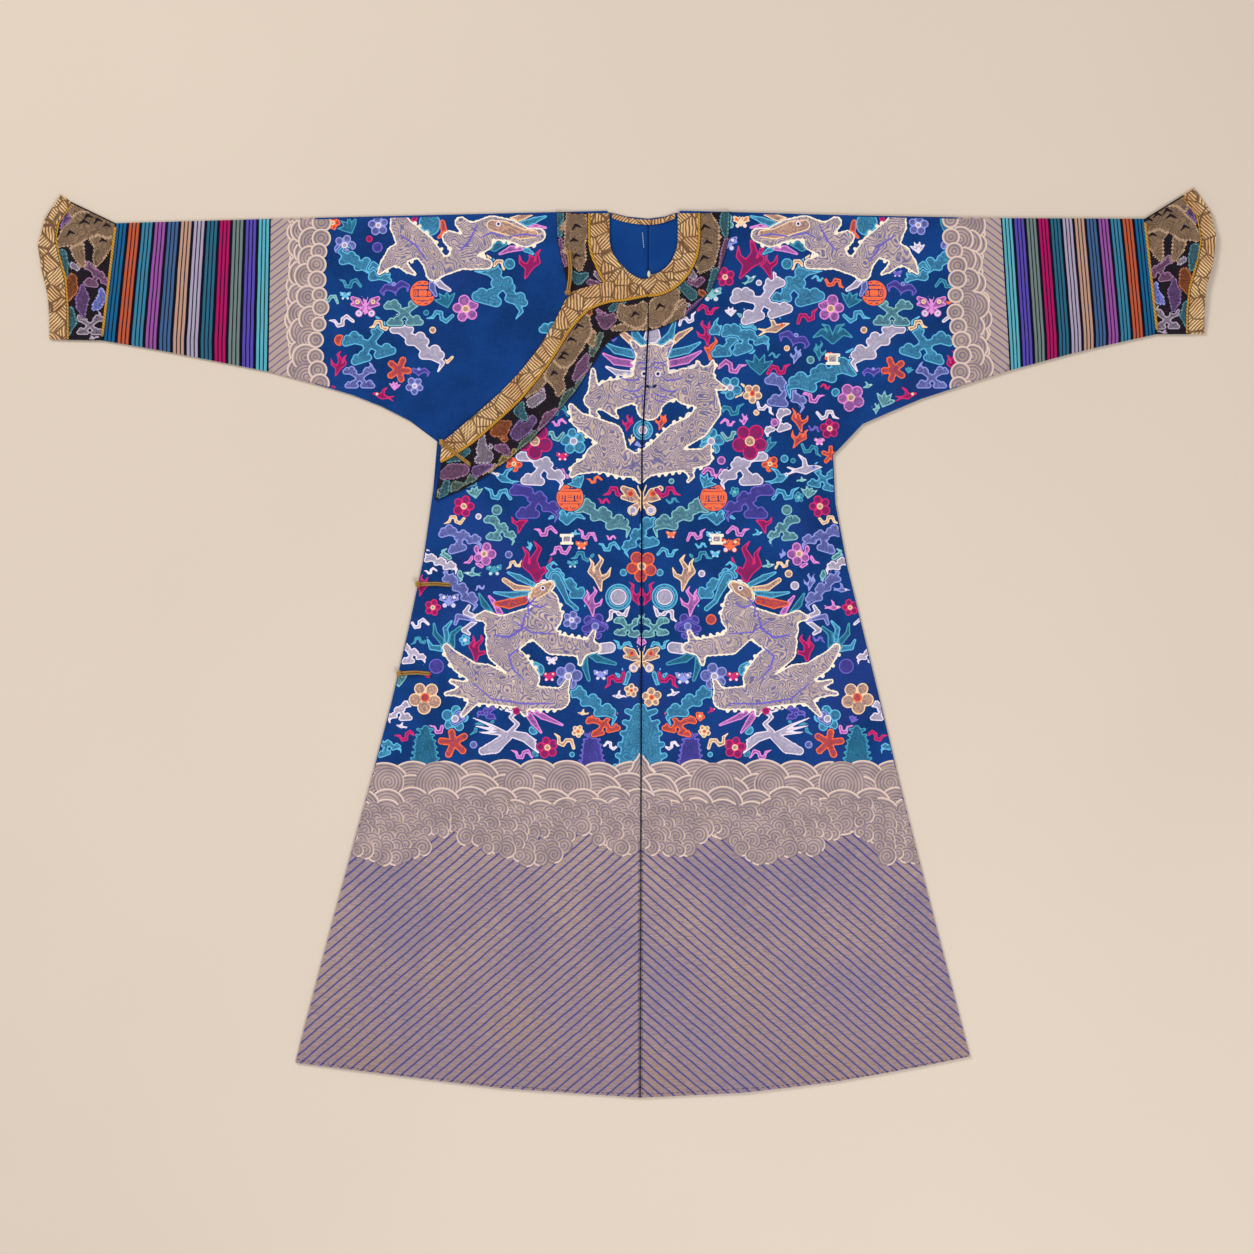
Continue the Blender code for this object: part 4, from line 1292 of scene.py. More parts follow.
CHEST_DRAGON_BODY = [
    [(8, 452, 27), (8, 430, 30), (8, 398, 30), (8, 376, 21)],
    [(-16, 470, 8), (-24, 480, 5)], [(30, 470, 8), (38, 480, 5)],
    [(-20, 405, 22), (-55, 396, 25), (-84, 388, 14)], [(-80, 395, 12), (-84, 418, 7), (-85, 436, 4)],
    [(-78, 384, 9), (-82, 368, 6), (-74, 362, 4)], [(-58, 380, 14), (-50, 368, 6), (-42, 360, 3)],
    [(30, 405, 22), (64, 420, 20), (95, 428, 15), (104, 440, 7), (106, 450, 3)],
    [(84, 430, 10), (82, 448, 4)],
    [(100, 418, 12), (118, 410, 7), (128, 407, 4)],
    [(66, 400, 20), (97, 394, 20), (104, 372, 20), (86, 346, 21), (56, 330, 22), (28, 300, 24), (1, 284, 22)],
    [(-117, 378, 5), (-103, 356, 13), (-76, 342, 18), (-52, 330, 22), (-46, 310, 22), (-70, 296, 22),
     (-30, 288, 24), (1, 278, 16)],
    [(-70, 290, 18), (-104, 278, 10), (-112, 268, 5)],
    [(20, 288, 20), (64, 292, 18), (98, 296, 15), (108, 316, 4)],
    [(70, 286, 10), (80, 266, 5), (74, 258, 3)], [(0, 276, 16), (-2, 262, 8)],
]
LOWER_DRAGON_BODY = [
    [(146, 92, 8), (160, 84, 13), (166, 72, 16)],
    [(150, 66, 18), (150, 42, 24), (180, 30, 26), (212, 22, 24), (236, 20, 16)],
    [(228, 30, 14), (250, 42, 10), (262, 40, 6)], [(160, 20, 22), (142, -2, 18), (96, -8, 15), (74, -8, 9)],
    [(84, -2, 8), (76, 18, 4)], [(96, -18, 8), (98, -34, 4)],
    [(200, 12, 22), (232, 0, 18), (228, -14, 20), (203, -32, 22), (182, -58, 20)],
    [(132, -90, 18), (178, -88, 20), (222, -80, 22), (264, -76, 22), (290, -80, 8)],
    [(126, -82, 10), (117, -60, 4)],
    [(222, -66, 18), (248, -52, 18), (272, -46, 15), (290, -34, 15), (304, -20, 10), (312, -8, 7)],
    [(280, -70, 8), (304, -62, 4)], [(284, -78, 8), (312, -82, 4)], [(268, -94, 8), (286, -116, 4)],
    [(190, -104, 9), (186, -114, 5)],
]
LOWER_DRAGON = [
    ("turquoise", [(138, 104, 8), (128, 88, 6), (118, 66, 4), (104, 54, 4)]),
    ("white", [(156, 92, 9), (150, 88, 8)]),
    ("turquoise", [(172, 92, 4), (196, 104, 5), (214, 112, 2)]),
    ("peach", [(172, 86, 3), (202, 88, 5), (220, 100, 4)]),
    ("turquoise", [(180, 80, 4), (208, 76, 5), (236, 80, 2)]),
    ("orange", [(188, 68, 7), (212, 62, 8), (232, 62, 4)]),
    ("pink", [(226, 46, 5), (236, 64, 4), (244, 74, 2)]),
    ("teal", [(240, 46, 5), (252, 62, 5), (260, 78, 2)]),
    ("white", [(264, 40, 4), (282, 48, 4), (276, 58, 3)]),
    ("periwinkle", [(266, 38, 5), (294, 42, 4), (298, 30, 3)]),
    ("white", [(266, 34, 4), (284, 20, 4), (276, 14, 3)]),
    ("teal", [(304, -8, 6), (302, 14, 4), (290, 24, 3)]),
    ("turquoise", [(308, -6, 6), (314, 22, 4), (304, 34, 2)]),
    ("teal", [(312, -6, 6), (330, 14, 4), (332, 30, 2)]),
    ("turquoise", [(314, -10, 6), (336, -8, 4), (342, 4, 2)]),
    ("pink", [(178, -104, 6), (158, -118, 5), (126, -132, 2)]),
    ("pink", [(186, -106, 6), (172, -128, 5), (160, -144, 2)]),
    ("teal", [(84, -16, 6), (70, -26, 6), (42, -34, 3)]),
    ("teal", [(92, -18, 6), (90, -40, 5), (84, -60, 3)]),
    ("white", [(66, -10, 9), (50, -8, 9)]), ("violet", [(62, 22, 5), (76, 24, 10), (90, 22, 6)]),
    ("turquoise", [(166, -44, 11), (172, -42, 12)]), ("periwinkle", [(298, -126, 6), (290, -118, 9)]),
]
SHOULDER_DRAGON_BODY = [
    [(176, 652, 12), (196, 648, 16), (222, 660, 18), (250, 664, 20), (272, 660, 16)],
    [(262, 640, 14), (290, 632, 20), (318, 648, 12)], [(286, 660, 14), (300, 672, 10)],
    [(300, 620, 18), (286, 610, 14), (258, 606, 9)],
    [(396, 666, 18), (386, 652, 22), (360, 634, 20), (344, 612, 19), (343, 592, 14)],
    [(330, 600, 14), (302, 612, 16)], [(380, 630, 18), (404, 620, 17), (420, 606, 10), (430, 592, 4)],
    [(400, 612, 10), (384, 596, 6), (374, 590, 3)], [(318, 640, 6), (326, 650, 3)],
    [(312, 612, 6), (326, 614, 3)],
    [(398, 674, 14), (412, 682, 4)],
]
SHOULDER_DRAGON = [
    ("turquoise", [(164, 682, 2), (182, 676, 5), (204, 668, 6)]),
    ("peach", [(180, 688, 2), (200, 682, 5), (222, 674, 6)]),
    ("pink", [(164, 664, 2), (180, 666, 4), (200, 660, 5)]),
    ("teal", [(228, 642, 6), (246, 632, 6), (264, 634, 3)]),
    ("pink", [(204, 632, 5), (220, 630, 5), (238, 622, 2)]),
    ("turquoise", [(210, 642, 5), (196, 630, 5), (184, 622, 2)]),
    ("turquoise", [(350, 672, 17), (350, 668, 17)]), ("white", [(350, 670, 11), (350, 669, 11)]),
    ("orange", [(330, 672, 5), (326, 656, 5), (336, 648, 2)]),
    ("crimson", [(372, 684, 3), (376, 672, 5), (366, 660, 3)]),
    ("white", [(342, 584, 6), (332, 572, 5), (318, 564, 3)]),
    ("periwinkle", [(344, 582, 6), (346, 568, 5), (340, 556, 3)]),
    ("turquoise", [(430, 598, 5), (440, 606, 4), (446, 598, 3)]),
]


def chain_box(points, reach=4):
    """The box round a chain, with room to spare."""
    xs = [p[0] for p in points]
    ys = [p[1] for p in points]
    wide = max(p[2] for p in points) + reach
    return (min(xs) - wide, min(ys) - wide, max(xs) + wide, max(ys) + wide)


def along_seam(points, flip):
    """Points at distances from the centre seam, as places on the robe on either side of it."""
    return [(float(seam_x(y)) + flip * u, y, r) for u, y, r in points]


SPINE_GAP = 11.0


def spines(points, flip):
    """Short blunt spines down the outer side of a dragon's body."""
    parts = []
    for (ax, ay, ar), (bx, by, br) in zip(points, points[1:]):
        length = math.hypot(bx - ax, by - ay)
        steps = max(1, int(length / SPINE_GAP))
        for k in range(steps):
            share = (k + 0.5) / steps
            x, y, r = ax + (bx - ax) * share, ay + (by - ay) * share, ar + (br - ar) * share
            out_x, out_y = (by - ay) / length * flip, -(bx - ax) / length * flip
            parts.append((x + out_x * (r + 1.5), y + out_y * (r + 1.5)))
    return parts


def weave_dragon(weaving, limbs, plumes, flip):
    """A body of several limbs, its broad ones fringed with spines, then plumes and mane behind it."""
    limbs = [along_seam(points, flip) for points in limbs]
    broad = [points for points in limbs if max(p[2] for p in points) > 14]
    fringe = [disc(x, y, 3.0) for points in broad for x, y in spines(points, flip)]
    body = union(*[chain(*points) for points in limbs], soft=5.0)
    frilled = union(body, *fringe, soft=2.0)
    boxes = np.array([chain_box(points, 8) for points in limbs])
    box = (*boxes[:, :2].min(axis=0), *boxes[:, 2:].max(axis=0))
    weaving.fill(lumpy(frilled, 0.7, 9), "dragon", box, step=2.0, gap=0.3)
    for silk, points in plumes:
        points = along_seam(points, flip)
        weaving.fill(chain(*points, soft=2.0), silk, chain_box(points), step=1.8, gap=0.3)


def lapel_low(x):
    """The height of the lapel's lower edge."""
    return float(np.interp(x, LAPEL_LOW["x"][::-1], LAPEL_LOW["y"][::-1]))


def plain_ground(x, y):
    """Whether a place lies in the part of the under-flap that carries no figures."""
    return -365 < x < 0 and lapel_low(x) < y < x + 750


# How much wider than its row says each kind is woven.
GROWN = {
    "medallion": 1.0, "spot": 1.0, "rock": 1.0, "butterfly": 1.0, "crane": 1.15, "ribbon": 1.25,
    "flame": 1.25, "bird": 1.3, "leaves": 1.3,
}


def weave_small(weaving, rows, seed, flip, keep=lambda x, y: True):
    """One side's small figures. Those on the centre seam come once, with the left side's."""
    for k, (kind, silk, u, y, size) in enumerate(rows):
        if u == 0 and flip < 0:
            continue
        x = float(seam_x(y)) + flip * u
        if keep(x, y):
            add_figure(weaving, kind, silk, x, y, size * GROWN.get(kind, 1.12), seed + k, flip)


def stroke(weaving, silk, *points, rise=0.14):
    """A thin line drawn over a figure."""
    weaving.fill(chain(*points), silk, chain_box(points), rise=rise, step=0.9)


def eye_of_dragon(weaving, x, y, size):
    """A white eye with a dark middle."""
    weaving.fill(disc(x, y, size), "white", box_round(x, y, size + 1), rise=0.14, step=0.9)
    weaving.fill(disc(x, y, size * 0.5), "night", box_round(x, y, size), rise=0.24, step=0.8)


# One side of a dragon's face, in shares of its size, with half widths in millimetres: two folds of
# the brow, the nose, two of the cheek, two of the chin and the horn's foot.
FACE_FOLDS = [
    [(0.1, 0.62, 0.6), (0.3, 0.5, 1.3), (0.56, 0.52, 1.2), (0.7, 0.34, 0.6)],
    [(0.1, 0.34, 0.6), (0.3, 0.28, 1.2), (0.55, 0.22, 0.6)],
    [(0.12, 0.1, 0.5), (0.15, -0.2, 0.9), (0.12, -0.45, 0.5)],
    [(0.5, -0.12, 0.6), (0.72, -0.3, 1.3), (1.1, -0.3, 1.2), (1.5, -0.16, 0.6)],
    [(0.34, -0.5, 0.6), (0.6, -0.78, 1.3), (1.0, -0.84, 1.2), (1.3, -0.7, 0.6)],
    [(0.08, -0.86, 0.6), (0.4, -1.04, 1.3), (0.8, -1.12, 1.0)],
    [(0.1, -1.14, 0.6), (0.34, -1.28, 1.1), (0.6, -1.3, 0.6)],
    [(0.74, 0.8, 0.6), (0.84, 1.1, 1.2), (0.96, 1.3, 0.6)],
]


def face_of_dragon(weaving, x, y, size):
    """Eyes under folded brows, a short nose and folds running down over the cheeks."""
    for side in (-1, 1):
        eye_of_dragon(weaving, x + side * size * 0.33, y, size * 0.14)
        for fold in FACE_FOLDS:
            stroke(weaving, "violet", *[(x + side * size * u, y + size * v, r) for u, v, r in fold])
        nostril = (x + side * size * 0.14, y - size * 0.6, 2.6)
        stroke(weaving, "night", nostril, (x + side * size * 0.24, y - size * 0.54, 1.6))


def marks_of_dragon(weaving, marks, flip):
    """The bare head, the eye and the fold lines of a dragon seen from the side."""
    (eye_u, eye_y), head, strokes = marks
    x = float(seam_x(eye_y)) + flip * eye_u
    stroke(weaving, "peach", *along_seam(head, flip), rise=0.08)
    eye_of_dragon(weaving, x, eye_y, 4.0)
    for line in strokes:
        stroke(weaving, "violet", *along_seam(line, flip))


LOWER_MARKS = ((158, 87), [(147, 93, 5), (156, 86, 9), (167, 80, 10), (172, 74, 7)], [
    [(150, 62, 0.8), (162, 56, 1.4), (176, 60, 1.2), (184, 72, 0.8)],
    [(186, 46, 1.2), (192, 22, 1.8), (212, 8, 1.8), (236, 12, 1.2)],
    [(140, 14, 0.8), (176, 16, 1.2), (204, 34, 0.8)],
    [(196, -8, 1.0), (212, -22, 1.6), (206, -42, 1.4), (188, -60, 0.8)],
    [(140, -98, 0.8), (190, -98, 1.4), (240, -90, 1.2), (268, -66, 0.8)],
    [(170, 72, 1.2), (182, 58, 1.4), (180, 42, 0.8)],
])
SHOULDER_MARKS = ((240, 670), [(182, 654, 6), (204, 654, 9), (230, 664, 11), (250, 668, 9)], [
    [(176, 650, 0.8), (196, 654, 1.4), (222, 650, 1.0)], [(274, 668, 1.0), (286, 644, 1.6), (300, 628, 1.0)],
    [(396, 652, 1.0), (372, 636, 1.6), (354, 610, 1.0)], [(230, 650, 0.8), (252, 656, 1.4), (268, 648, 0.8)],
])


FILLERS = ["ribbon", "ribbon", "leaves", "spot", "flower", "bird", "flame", "butterfly"]
FILLER_SILKS = [
    "turquoise", "teal", "mint", "pink", "crimson", "peach", "periwinkle", "white", "orange", "violet",
]
SHOULDER_FLOOR = 360
CHEST_FLOOR = 120
WAVES_FROM = 490
LEAST_ROOM = 7.5
REACH = 14


def fill_gaps(parts, taken, flip, keep, draw):
    """Small sprays, ribbons and buds in the blue between the larger figures."""
    for row in range(30):
        for column in range(36):
            u = 16 + column * 16 + draw.uniform(-6, 6)
            y = -172 + row * 29 + draw.uniform(-9, 9)
            x = float(seam_x(y)) + flip * u
            spot_x, spot_y = np.array([x]), np.array([y])
            near_edge = float(robe_clip(spot_x, spot_y)[0]) > -12
            on_waves = y > SHOULDER_FLOOR and u > WAVES_FROM
            if near_edge or on_waves or not keep(x, y) or under_trim(x, y):
                continue
            near = [
                float(figure(spot_x, spot_y)[0]) for (left, low, right, high), figure in taken
                if left - REACH < x < right + REACH and low - REACH < y < high + REACH
            ]
            room = min(near, default=REACH)
            if room < LEAST_ROOM:
                continue
            kind = draw.choice(FILLERS)
            silk = draw.choice(FILLER_SILKS)
            size = min(34.0, room * 2.3) * (0.5 if kind == "spot" else 1.0)
            region = "shoulder" if y > SHOULDER_FLOOR else "chest" if y > CHEST_FLOOR else "lower"
            add_figure(parts[region], kind, silk, x, y, size, row * 40 + column, flip)


NECK_CENTRE = (34, 640)
COLLAR_REACH = (118, 128)
BORDER_WIDTH = 58
LAPEL_END = -300


def under_trim(x, y):
    """Whether a place lies under the collar, its border or the lapel."""
    x0, y0 = NECK_CENTRE
    if x > x0:
        return math.hypot((x - x0) / COLLAR_REACH[0], (y - y0) / COLLAR_REACH[1]) < 1
    return y > lapel_low(x) - BORDER_WIDTH and x > LAPEL_END


front = Surface("silk_body_left", "silk_body_right", "silk_overlap")


SIDE_MARGIN = 1.2
SEAM_MARGIN = 1.5


def robe_clip(x, y):
    """Keeps figures on the cloth and just short of the centre seam."""
    return np.maximum(robe_field(x, y) + SIDE_MARGIN, SEAM_MARGIN - np.abs(x - seam_x(y)))


# The pearl that the chest's dragon holds.
PEARL = [
    ("spot", "white", 0, 340, 15), ("spot", "turquoise", 0, 340, 32), ("flame", "crimson", -25, 352, 28),
    ("flame", "orange", 28, 355, 30), ("leaves", "turquoise", 0, 366, 20),
    ("cloud", "periwinkle", 0, 312, 24),
]
REGIONS = ("shoulder", "chest", "lower")


def weave_front():
    """The figures of the robe's front: the dragons first, then the rest fitted in round them."""
    taken = []
    parts = {}
    for region in REGIONS:
        for side in ("left", "right"):
            parts[region, side] = Weaving(front, robe_clip, taken=taken)
    dragon = Weaving(front, robe_clip, taken=taken)
    weave_dragon(dragon, CHEST_DRAGON_BODY, CHEST_DRAGON, 1)
    face_of_dragon(dragon, float(seam_x(430)) + 8, 430, 34)
    for kind, silk, u, y, size in PEARL:
        add_figure(dragon, kind, silk, float(seam_x(y)) + u, y, size, 9, turn=0.0)
    dragon.piece("figures_chest_dragon", "figured_silk")
    for side, flip in (("left", 1), ("right", -1)):
        weave_dragon(parts["shoulder", side], SHOULDER_DRAGON_BODY, SHOULDER_DRAGON, flip)
        marks_of_dragon(parts["shoulder", side], SHOULDER_MARKS, flip)
        weave_dragon(parts["lower", side], LOWER_DRAGON_BODY, LOWER_DRAGON, flip)
        marks_of_dragon(parts["lower", side], LOWER_MARKS, flip)
    for side, flip in (("left", 1), ("right", -1)):
        keep = (lambda x, y: True) if flip > 0 else (lambda x, y: not plain_ground(x, y))
        weave_small(parts["shoulder", side], SHOULDER_FIGURES, 100, flip, keep)
        weave_small(parts["chest", side], CHEST_FIGURES, 300, flip, keep)
        weave_small(parts["lower", side], LOWER_FIGURES, 500, flip)
        regions = {region: parts[region, side] for region in REGIONS}
        fill_gaps(regions, taken, flip, keep, random.Random(5))
    for (region, side), weaving in parts.items():
        weaving.piece(f"figures_{region}_{side}", "figured_silk")


weave_front()


# ---- Waves and foam --------------------------------------------------------------------------
# Each row is placed before the rows behind it, and every wave stops at the ones in front of it.

def arc_row(weaving, top, gap, radius, start, stop, draw):
    """A row of round waves with lines that follow their crests."""
    x = start
    while x < stop:
        r = radius * draw.uniform(0.86, 1.14)
        y = top - r + draw.uniform(-3, 3)
        weaving.fill(disc(x, y, r), "wave", box_round(x, y, r + 3), step=2.4, gap=0.0)
        x += gap * draw.uniform(0.85, 1.15)


def skirt_sides(y):
    """Where the skirt's two side seams lie at a height."""
    return [float(np.interp(y, SIDES["y"], SIDES[side])) for side in ("right", "left")]


# Rows of foam, and of round waves from the lowest up: top, gap, radius and the ends of each row.
FOAM_ROWS = (-334, -322, -310, -298, -286, -274, -264)
ARC_ROWS = [
    (-250, 42, 30, -470, 492), (-232, 46, 34, -466, 490), (-210, 52, 42, -452, 480),
    (-189, 50, 46, -440, 470),
]
WHORL_GAP = 5.0


def weave_hem():
    """Standing waves, whorls and foam across the top of the striped hem."""
    draw = random.Random(77)
    taken = []
    spray = Weaving(front, robe_clip, lift=0.5, taken=taken)
    for row, y in enumerate(FOAM_ROWS):
        low, high = skirt_sides(y)
        x = low - 8
        while x < high + 8:
            r = draw.uniform(8.5, 15.5)
            dip = 6 * math.sin(x * 0.021 + 1.0) + 4 * math.sin(x * 0.055)
            if row > 2 or math.sin(x * 0.030 + 0.4) > -0.1 - 0.4 * row:
                spray.whorl(x, y + dip + draw.uniform(-4, 4), r, WHORL_GAP, draw.choice([-1, 1]))
            x += r * draw.uniform(1.0, 1.6)
    spray.piece("waves_foam", "figured_silk")
    swell = Weaving(front, robe_clip, lift=0.5, taken=taken)
    for arcs in ARC_ROWS[:2]:
        arc_row(swell, *arcs, draw)
    for side in (-1, 1):
        for u in (112, 200, 320, 404):
            radius = 37 if u in (112, 320) else 25
            x, y = 22 + side * u + draw.uniform(-8, 8), -226 + draw.uniform(-4, 4)
            swell.whorl(x, y, radius, 5.2, side)
    arc_row(swell, *ARC_ROWS[2], draw)
    peak = chain((22, -262, 52), (22, -232, 34), (22, -198, 14), (22, -178, 3))
    swell.fill(peak, "wave", (-40, -320, 84, -168), gap=0.0)
    arc_row(swell, *ARC_ROWS[3], draw)
    swell.piece("waves_swell", "figured_silk")


# Columns of waves down a sleeve band: distance in from its edge, gap and radius.
SLEEVE_WAVES = [(92, 24, 14), (84, 30, 21), (74, 32, 22), (63, 28, 18), (54, 20, 12)]


def weave_sleeve_waves(side):
    """The wave band at the end of a sleeve head: foam, round waves, then stripes."""
    draw = random.Random(90 + side)
    outer = abs(sleeve_edge(side, 560))

    def on_band(x, y):
        return np.maximum(robe_field(x, y) + SIDE_MARGIN, side * x - outer + 1)
    band = Weaving(front, on_band, lift=0.5)
    for column, (inset, gap, radius) in enumerate(SLEEVE_WAVES):
        y = 390 + 7 * column
        while y < 695:
            x = sleeve_edge(side, y) - side * (inset - radius + 4 * math.sin(y * 0.05 + column))
            r = radius * draw.uniform(0.85, 1.15)
            if column == 1 and draw.random() < 0.5:
                band.whorl(x, y, r, WHORL_GAP, side)
            else:
                band.fill(disc(x, y, r), "wave", box_round(x, y, r + 3), gap=0.0)
            y += gap * draw.uniform(0.85, 1.15)
    band.piece("waves_sleeve_left" if side > 0 else "waves_sleeve_right", "figured_silk")


def sleeve_edge(side, y):
    """Where the body's loom width ends at the sleeve."""
    seam = BODY_SEAM["left" if side > 0 else "right"]
    return float(np.interp(y, seam["y"], seam["x"]))


weave_hem()
weave_sleeve_waves(1)
weave_sleeve_waves(-1)


# ---- Pipings, toggles and the bead -----------------------------------------------------------

STRAND_SHIFT = 1.7


def doubled_cord(mesh):
    """A toggle's cord folded double: two strands side by side."""
    points = mesh_points(mesh)
    low, high = points.min(axis=0), points.max(axis=0)
    across = Vector((0, 1, 0)) if high[0] - low[0] > high[1] - low[1] else Vector((1, 0, 0))
    bm = bmesh.new()
    for side in (-1, 1):
        strand = mesh.copy()
        strand.transform(Matrix.Translation(across * side * STRAND_SHIFT * MM))
        bm.from_mesh(strand)
        bpy.data.meshes.remove(strand)
    bm.to_mesh(mesh)
    bm.free()
    return mesh


TRIM_LEVELS = 2


def trim_piece(name, node, finish):
    """A fine copy of a CAD trim, lifted by the creases like the cloth below it."""
    mesh = fine_mesh(node, TRIM_LEVELS)
    set_points(mesh, creased(reached(mesh_points(mesh), name)))
    if name.startswith("cord_"):
        mesh = doubled_cord(mesh)
    mesh.shade_smooth()
    mesh.set_sharp_from_angle(angle=math.radians(50))
    piece = new_piece(name, mesh, finish)
    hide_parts(node)


TRIMS = {
    "piping_cuff_left": ("cuff_piping_left", "yellow_piping"),
    "piping_cuff_right": ("cuff_piping_right", "yellow_piping"),
    "piping_neck_left": ("neck_piping_left", "yellow_piping"),
    "piping_neck_right": ("neck_piping_right", "yellow_piping"),
    "piping_lapel": ("lapel_piping", "yellow_piping"),
    "cord_lapel": ("toggle_lapel", "gold_cord"),
    "cord_armpit": ("toggle_armpit", "gold_cord"),
    "cord_side_upper": ("toggle_side_upper", "gold_cord"),
    "cord_side_lower": ("toggle_side_lower", "gold_cord"),
    "bead_neck": ("neck_button", "ivory_bead"),
}
for trim_name, (trim_node, trim_finish) in TRIMS.items():
    trim_piece(trim_name, trim_node, trim_finish)


# ---- Figures on the dark borders and cuffs -----------------------------------------------------

OUTLINE_INSET = 0.8


def outline_field(name):
    """Distance outside one cloth piece's outline, negative on it."""
    mesh = cloth[name].data
    surface = Surface(name)
    tops = {}
    for face in mesh.polygons:
        for key in face.edge_keys:
            tops.setdefault(key, []).append(face.normal.z > 0.5)
    rim = [key for key, ups in tops.items() if any(ups) and not all(ups)]
    ends = np.array([[mesh.vertices[v].co[:2] for v in key] for key in rim]) / MM

    def field(x, y):
        away = np.full(x.shape, 1e9)
        near = (x.min() - 30, x.max() + 30, y.min() - 30, y.max() + 30)
        for (ax, ay), (bx, by) in ends:
            if not (near[0] < ax < near[1] and near[2] < ay < near[3]):
                continue
            dx, dy = bx - ax, by - ay
            along = np.clip(((x - ax) * dx + (y - ay) * dy) / max(dx * dx + dy * dy, 1e-9), 0, 1)
            away = np.minimum(away, np.hypot(x - ax - along * dx, y - ay - along * dy))
        over = [surface.height(px, py) is not None for px, py in zip(x.ravel(), y.ravel())]
        return np.where(np.array(over).reshape(x.shape), -away, away) + OUTLINE_INSET
    return field


CUFF_FIGURES = [
    ("taupe", [(-908, 640, 8), (-890, 652, 18), (-868, 668, 22), (-846, 672, 18), (-832, 664, 16)]),
    ("taupe", [(-880, 690, 14), (-862, 678, 20), (-838, 640, 16), (-846, 616, 9), (-850, 606, 5)]),
    ("taupe", [(-884, 650, 14), (-878, 622, 10), (-872, 606, 6)]),
    ("dull_violet", [(-903, 698, 6), (-893, 680, 9), (-902, 664, 6)]),
    ("dull_teal", [(-905, 622, 8), (-902, 606, 8), (-900, 590, 5)]),
    ("dull_rust", [(-889, 582, 9), (-890, 566, 11), (-894, 552, 5)]),
    ("dull_violet", [(-872, 570, 4), (-872, 552, 11), (-873, 538, 9), (-870, 522, 3)]),
    ("periwinkle", [(-842, 564, 4), (-840, 554, 7), (-848, 540, 8), (-854, 534, 3)]),
    ("dull_teal", [(-893, 530, 8), (-890, 514, 9), (-896, 496, 5)]),
    ("dull_lilac", [(-888, 604, 5), (-880, 600, 5)]),
]
CUFF_EDGE = {
    "right": [(-888, 704), (-910, 673), (-915, 648), (-910, 620), (-899, 584), (-896, 540), (-896, 485)],
    "left": [(889, 715), (912, 684), (920, 650), (915, 616), (901, 570), (897, 532), (897, 494)],
}
CUFF_CLOUDS = [("dull_mauve", -850, 584, 52), ("dull_lilac", -860, 508, 46), ("dull_lilac", -856, 490, 22)]
YOKE_FIGURES = [
    ("taupe", [(-82, 684, 16), (-80, 662, 20), (-84, 640, 17), (-80, 616, 15), (-76, 600, 6)]),
    ("taupe", [(-90, 676, 8), (-102, 664, 5)]), ("taupe", [(-84, 634, 12), (-98, 626, 5)]),
    ("dull_teal", [(-107, 686, 6), (-106, 668, 7), (-108, 652, 4)]),
    ("dull_mauve", [(-106, 644, 4), (-104, 625, 6), (-98, 604, 3)]),
    ("dull_teal", [(-86, 590, 5), (-78, 582, 9), (-66, 588, 5)]),
    ("dull_lilac", [(-48, 590, 6), (-40, 584, 7)]),
    ("dull_mauve", [(-60, 577, 5), (-46, 574, 4)]),
]
COLLAR_FIGURES = [
    ("taupe", [(122, 684, 14), (126, 660, 22), (130, 636, 18), (124, 612, 18), (118, 596, 6)]),
    ("taupe", [(138, 656, 12), (146, 648, 5)]), ("taupe", [(112, 616, 12), (104, 606, 5)]),
    ("dull_teal", [(157, 686, 7), (155, 668, 8), (158, 652, 4)]),
    ("dull_mauve", [(160, 646, 4), (157, 626, 7), (150, 600, 4)]),
    ("dull_teal", [(142, 592, 8), (140, 576, 9), (132, 564, 5)]),
    ("dull_lilac", [(98, 594, 8), (106, 586, 6)]),
    ("dull_mauve", [(102, 578, 6), (112, 576, 7), (120, 580, 5)]),
    ("dull_teal", [(84, 582, 5), (92, 568, 8), (104, 556, 9)]), ("dull_rust", [(118, 560, 5), (122, 558, 5)]),
    ("dull_violet", [(130, 552, 6), (118, 540, 9), (100, 526, 7)]),
    ("taupe", [(44, 516, 14), (54, 534, 20), (70, 552, 14), (80, 562, 5)]),
    ("taupe", [(62, 520, 14), (84, 524, 10), (92, 538, 4)]), ("taupe", [(74, 540, 10), (90, 546, 4)]),
    ("dull_lilac", [(92, 542, 4), (104, 536, 4)]), ("dull_olive", [(90, 514, 4), (70, 507, 5), (44, 501, 4)]),
]
